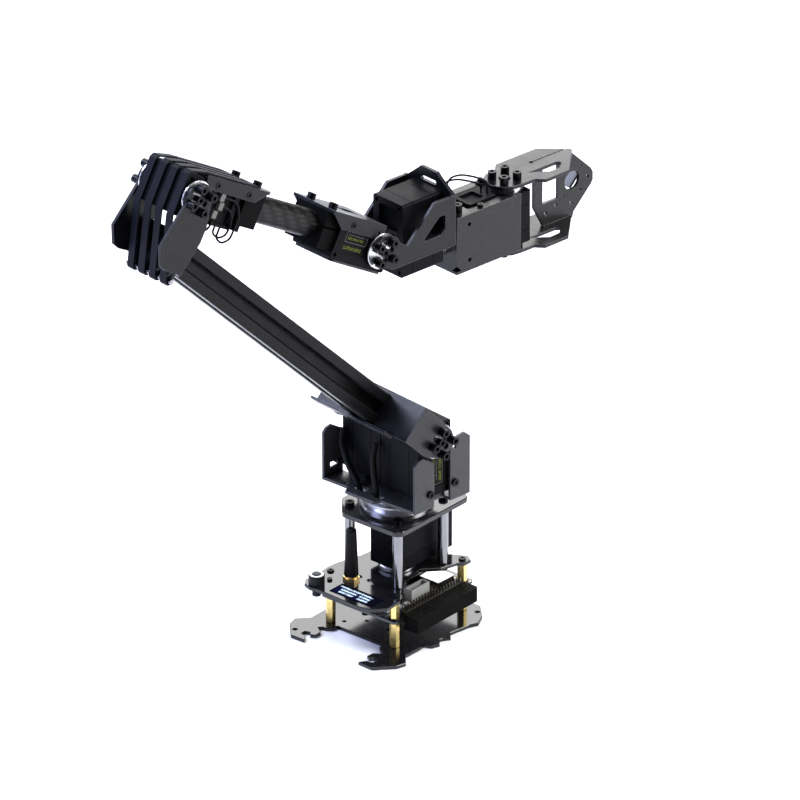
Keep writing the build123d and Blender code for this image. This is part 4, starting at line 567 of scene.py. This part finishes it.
def header_mat(name):
    """black moulding with a dull contact in each socket of its top face"""
    m = Mat(name)
    x = m.math("ABSOLUTE", m.math("SUBTRACT", m.math("FRACT", m.math("DIVIDE", m.dot((1, 0, 0), -25.6), 2.54)), 0.5))
    y = m.math("ABSOLUTE", m.math("SUBTRACT", m.math("FRACT", m.math("DIVIDE", m.dot((0, 1, 0), -37.45), 2.7)), 0.5))
    top = m.facing((0, 0, 1), 0.7, 0.9)
    rim = m.math("MULTIPLY", m.math("LESS_THAN", x, 0.27), m.math("LESS_THAN", y, 0.27))
    hole = m.math("MULTIPLY", m.math("LESS_THAN", x, 0.19), m.math("LESS_THAN", y, 0.19))
    ring = m.math("MULTIPLY", m.math("SUBTRACT", rim, hole), top)
    pits = m.noise(1500.0, 3.0, 0.65)
    col = m.mix(m.maprange(m.noise(60.0, 3.0), 0.3, 0.7, 0, 1), (0.0028, 0.0028, 0.003), (0.0042, 0.0042, 0.0045))
    m.base(m.mix(ring, col, (0.030, 0.029, 0.025)))
    m.rough(m.maprange(pits, 0.3, 0.7, 0.40, 0.52))
    m.set(Specular_IOR_Level=0.012)
    m.normal(m.bump(pits, 0.2, 0.00008))
    return m.m


def shield_mat(name):
    """tinned can with a dark carrier board round its rim"""
    m = Mat(name)
    x = m.math("ABSOLUTE", m.dot((1, 0, 0), 20.4))
    y = m.math("ABSOLUTE", m.dot((0, 1, 0), -13.0))
    z = m.dot((0, 0, 1))
    can = m.math("MULTIPLY", m.math("LESS_THAN", x, 6.9), m.math("LESS_THAN", y, 7.1))
    can = m.math("MULTIPLY", can, m.math("GREATER_THAN", z, 23.2))
    cloud = m.noise(45.0, 4.0, 0.6)
    tin = m.mix(m.maprange(cloud, 0.3, 0.7, 0, 1), (0.56, 0.56, 0.57), (0.80, 0.80, 0.81))
    m.base(m.mix(can, (0.005, 0.005, 0.006), tin))
    m.metal(can)
    m.rough(m.maprange(m.noise(900.0, 3.0), 0.3, 0.7, 0.24, 0.38))
    m.set(Specular_IOR_Level=0.2)
    m.normal(m.bump(m.noise(900.0, 3.0), 0.05, 0.00003))
    return m.m


def button_mat(name):
    """black knurled body with a white ring round the top"""
    m = Mat(name)
    dx = m.dot((1, 0, 0), -46.4)
    dy = m.dot((0, 1, 0), 20.4)
    z = m.dot((0, 0, 1))
    r = m.math("SQRT", m.math("ADD", m.math("MULTIPLY", dx, dx), m.math("MULTIPLY", dy, dy)))
    ring = m.math("MULTIPLY", m.math("LESS_THAN", r, 4.25), m.math("GREATER_THAN", r, 2.7))
    ring = m.math("MULTIPLY", ring, m.math("GREATER_THAN", z, MID_TOP + 5.7))
    ang = m.math("ARCTAN2", dy, dx)
    knurl = m.math("SINE", m.math("MULTIPLY", ang, 48.0))
    side = m.math("MULTIPLY", m.math("GREATER_THAN", r, 4.6), m.math("GREATER_THAN", z, MID_TOP))
    fine = m.noise(1500.0, 3.0)
    col = m.mix(m.maprange(fine, 0.3, 0.7, 0, 1), (0.0035, 0.0035, 0.004), (0.006, 0.006, 0.007))
    m.base(m.mix(ring, col, (0.78, 0.79, 0.80)))
    m.rough(m.maprange(fine, 0.3, 0.7, 0.34, 0.5))
    m.set(Specular_IOR_Level=0.15)
    h = m.math("ADD", m.math("MULTIPLY", knurl, side), m.math("MULTIPLY", fine, 0.3))
    m.normal(m.bump(h, 0.4, 0.00012))
    return m.m


def floor_mat():
    m = Mat("floor_white")
    c = m.noise(3.0, 3.0)
    m.base(m.mix(m.maprange(c, 0.3, 0.7, 0, 1), (0.86, 0.86, 0.86), (0.9, 0.9, 0.9)))
    m.rough(m.maprange(m.noise(40.0, 3.0), 0.3, 0.7, 0.5, 0.62))
    m.set(Specular_IOR_Level=0.25)
    return m.m


floor.data.materials.append(floor_mat())

M_plate = gloss_plate("gloss_black_plate", (0.004, 0.004, 0.005))
M_plate_mid = gloss_plate("gloss_black_middle", (0.005, 0.005, 0.006))
# the edge colours given below are painted highlights along the sheet edges, tinted blue
M_anod = coated("black_anodised", (0.005, 0.005, 0.006), 0.34, spec=0.3)
M_shoulder = coated("shoulder_anodised", (0.005, 0.005, 0.007), 0.32, spec=0.33, edge_highlight=(0.11, 0.11, 0.155))
M_housing = coated("housing_anodised", (0.018, 0.018, 0.020), 0.36, spec=0.35, edge_highlight=(0.11, 0.11, 0.145))
M_grey = coated("grey_anodised", (0.003, 0.003, 0.004), 0.32, spec=0.18, edge_highlight=(0.10, 0.10, 0.15))
M_tool = coated("tool_anodised", (0.003, 0.003, 0.0035), 0.28, spec=0.25, edge_highlight=(0.10, 0.10, 0.12))
M_prof = coated("profile_anodised", (0.003, 0.003, 0.0035), 0.30, grain=1800, strength=0.08, spec=0.1,
                edge_highlight=(0.02, 0.02, 0.024), edge_w=0.0004)
M_brass = metal("brass", (1.0, 0.78, 0.30), 0.30, grain=700, strength=0.03)
M_black_steel = metal("black_steel", (0.014, 0.014, 0.016), 0.34)
M_plug = plastic("lead_plug", (0.10, 0.10, 0.095), 0.45, spec=0.2)
M_chrome = metal("chrome", (0.26, 0.26, 0.27), 0.14, grain=500, strength=0.015)
M_case = plastic("servo_case", (0.0028, 0.0029, 0.0038), 0.42, spec=0.045)
LIME, PALE = (0.085, 0.10, 0.016), (0.085, 0.085, 0.075)
M_case_shoulder = labelled_case(
    "servo_case_shoulder", ((0, 0, 1), 0.0), (FX, 0.0), (-FY, 0.0), 31.2, [(97.4, 116.0, -6.4, 6.6)],
    [(98.6, 114.8, -1.3, 0.3, LIME), (98.6, 113.0, 3.5, 5.6, LIME), (100.0, 114.4, 1.4, 2.2, PALE),
     (98.6, 108.0, -5.2, -3.4, PALE)])
fo = FOR.o * 1000
M_case_wrist = labelled_case(
    "servo_case_wrist", (FOR.u, fo.dot(FOR.u)), (FOR.n, fo.dot(FOR.n)), (-FY, 0.0), 15.2,
    [(128.6, 146.4, -0.8, 5.4)],
    [(130.2, 143.4, 0.9, 2.4, LIME), (130.2, 145.0, 3.3, 4.1, PALE), (129.2, 144.2, -4.9, -3.0, LIME)])
M_blackpl = plastic("black_plastic", (0.002, 0.002, 0.0023), 0.5, spec=0.03)
M_socket = plastic("pale_plastic", (0.24, 0.245, 0.235), 0.45, spec=0.3)
M_parts = plastic("small_parts", (0.42, 0.43, 0.45), 0.4, spec=0.4)
M_board = board_mat("board")
M_shield = shield_mat("module_shield")
M_display = display_mat("display")
M_button = button_mat("button_body")
M_cap = plastic("button_centre", (0.006, 0.006, 0.007), 0.4, spec=0.2)
M_carbon = carbon("carbon", FOR, 1.8)
M_band = rubber("band_rubber", (0.0045, 0.0048, 0.0085), 0.5)
M_cable = rubber("cable", (0.003, 0.003, 0.0035), 0.42, 1400)
M_pins = two_tone("pins", 22.55, (0.006, 0.006, 0.007), (0.22, 0.19, 0.13))
M_header = header_mat("header")
M_whip = rubber("whip_rubber", (0.003, 0.003, 0.0034), 0.38, 1600)
M_antenna = metal("antenna_brass", (0.80, 0.60, 0.26), 0.34, grain=700, strength=0.03)
M_turned = {
    "yaw": turned_metal("turned_yaw", (0.60, 0.60, 0.62), 0.27, (0, 0, 0), (0, 0, 1)),
    "shoulder": turned_metal("turned_shoulder", (0.58, 0.58, 0.60), 0.24, UPP.o, FY),
    "elbow": turned_metal("turned_elbow", (0.58, 0.58, 0.60), 0.24, FOR.o, FY),
    "wrist": turned_metal("turned_wrist", (0.58, 0.58, 0.60), 0.24, TUR.at(WX, WZ, 0), FY),
    "roll": turned_metal("turned_roll", (0.58, 0.58, 0.60), 0.24, TUR.at(30, 232.4, 0), FX),
    "tool": turned_metal("turned_tool", (0.58, 0.58, 0.60), 0.24, TUR.at(83.5, 230, 0), UP),
}

assign = {
    "base_plate": M_plate, "lower_standoffs": M_brass, "upper_standoffs": M_brass,
    "standoffs": M_brass,
    "controller_board": M_board, "edge_header": M_header, "pin_headers": M_pins,
    "bus_socket": M_socket, "radio_module": M_shield, "board_components": M_parts,
    "middle_plate": M_plate_mid, "display_module": M_display, "button_socket": M_button,
    "button_cap": M_cap, "antenna_base": M_antenna, "antenna_whip": M_whip,
    "yaw_servo": M_case, "yaw_servo_foot": M_turned["yaw"], "support_posts": M_chrome,
    "top_plate": M_plate_mid, "base_screws": M_black_steel, "bearing_ring": M_turned["yaw"],
    "yaw_horn": M_turned["yaw"], "turntable": M_turned["yaw"], "housing_bracket": M_housing,
    "shoulder_servo_near": M_case_shoulder, "shoulder_servo_far": M_case, "servo_stand": M_anod,
    "housing_screws": M_black_steel, "turret_cables": M_cable,
    "shoulder_horns": M_turned["shoulder"], "shoulder_bracket": M_shoulder, "arm_profile": M_prof,
    "elbow_bracket": M_grey, "band_pin": M_chrome, "elbow_horns": M_turned["elbow"],
    "upper_arm_screws": M_black_steel, "elbow_servo": M_case, "elbow_cover": M_grey,
    "tube_clamp_rear": M_blackpl, "tube_clamp_front": M_blackpl, "forearm_tube": M_carbon,
    "wrist_servo": M_case_wrist, "wrist_cover": M_grey, "wrist_lower_plate": M_anod,
    "forearm_screws": M_black_steel, "lead_plugs": M_plug, "elbow_bands": M_band,
    "elbow_leads": M_cable, "tool_leads": M_cable,
    "wrist_horns": M_turned["wrist"], "wrist_bracket": M_grey, "roll_servo": M_case,
    "wrist_screws": M_black_steel, "roll_horn": M_turned["roll"], "tool_carrier": M_tool,
    "tool_servo": M_case, "carrier_screws": M_black_steel, "tool_horn": M_turned["tool"],
    "tool_idler": M_turned["tool"], "tool_bracket": M_tool, "tool_screws": M_black_steel,
}
for name, ob in N.items():
    mat = assign[name]
    ob.data.materials.clear()
    ob.data.materials.append(mat)

# ---------------------------------------------------------------------------
# rubber bands: hooked on the upper arm's pin, riding on the forearm from the servo upward
# ---------------------------------------------------------------------------
src = N["elbow_bands"]
bm = bmesh.new()
bm.from_mesh(src.data)
bmesh.ops.transform(bm, matrix=src.matrix_world, verts=bm.verts)
bmesh.ops.remove_doubles(bm, verts=bm.verts, dist=1e-6)
bmesh.ops.dissolve_limit(bm, angle_limit=0.01, verts=bm.verts, edges=bm.edges)
for step in range(8):
    # cross cuts, square to the free run of the bands between the pin and the servo
    z = (287.0 + 4.0 * step) * MM
    bmesh.ops.bisect_plane(bm, geom=bm.verts[:] + bm.edges[:] + bm.faces[:], plane_co=(0, 0, z), plane_no=(0, 0, 1))
for e in bm.edges:
    e.smooth = len(e.link_faces) == 2 and e.calc_face_angle(0.0) < 0.5
for f in bm.faces:
    f.smooth = True
me = bpy.data.meshes.new("elbow_bands_rubber")
bm.to_mesh(me)
bm.free()
for extra in ("custom_normal", "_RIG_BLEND"):
    if extra in me.attributes:
        me.attributes.remove(me.attributes[extra])
bands = bpy.data.objects.new("elbow_bands_rubber", me)
bpy.context.scene.collection.objects.link(bands)
me.materials.clear()
me.materials.append(M_band)
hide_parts("elbow_bands")
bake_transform(bands, "upper_arm", "forearm", TUR.at(-184.0, 285.5, 0), TUR.at(-182.0, 317.0, 0))
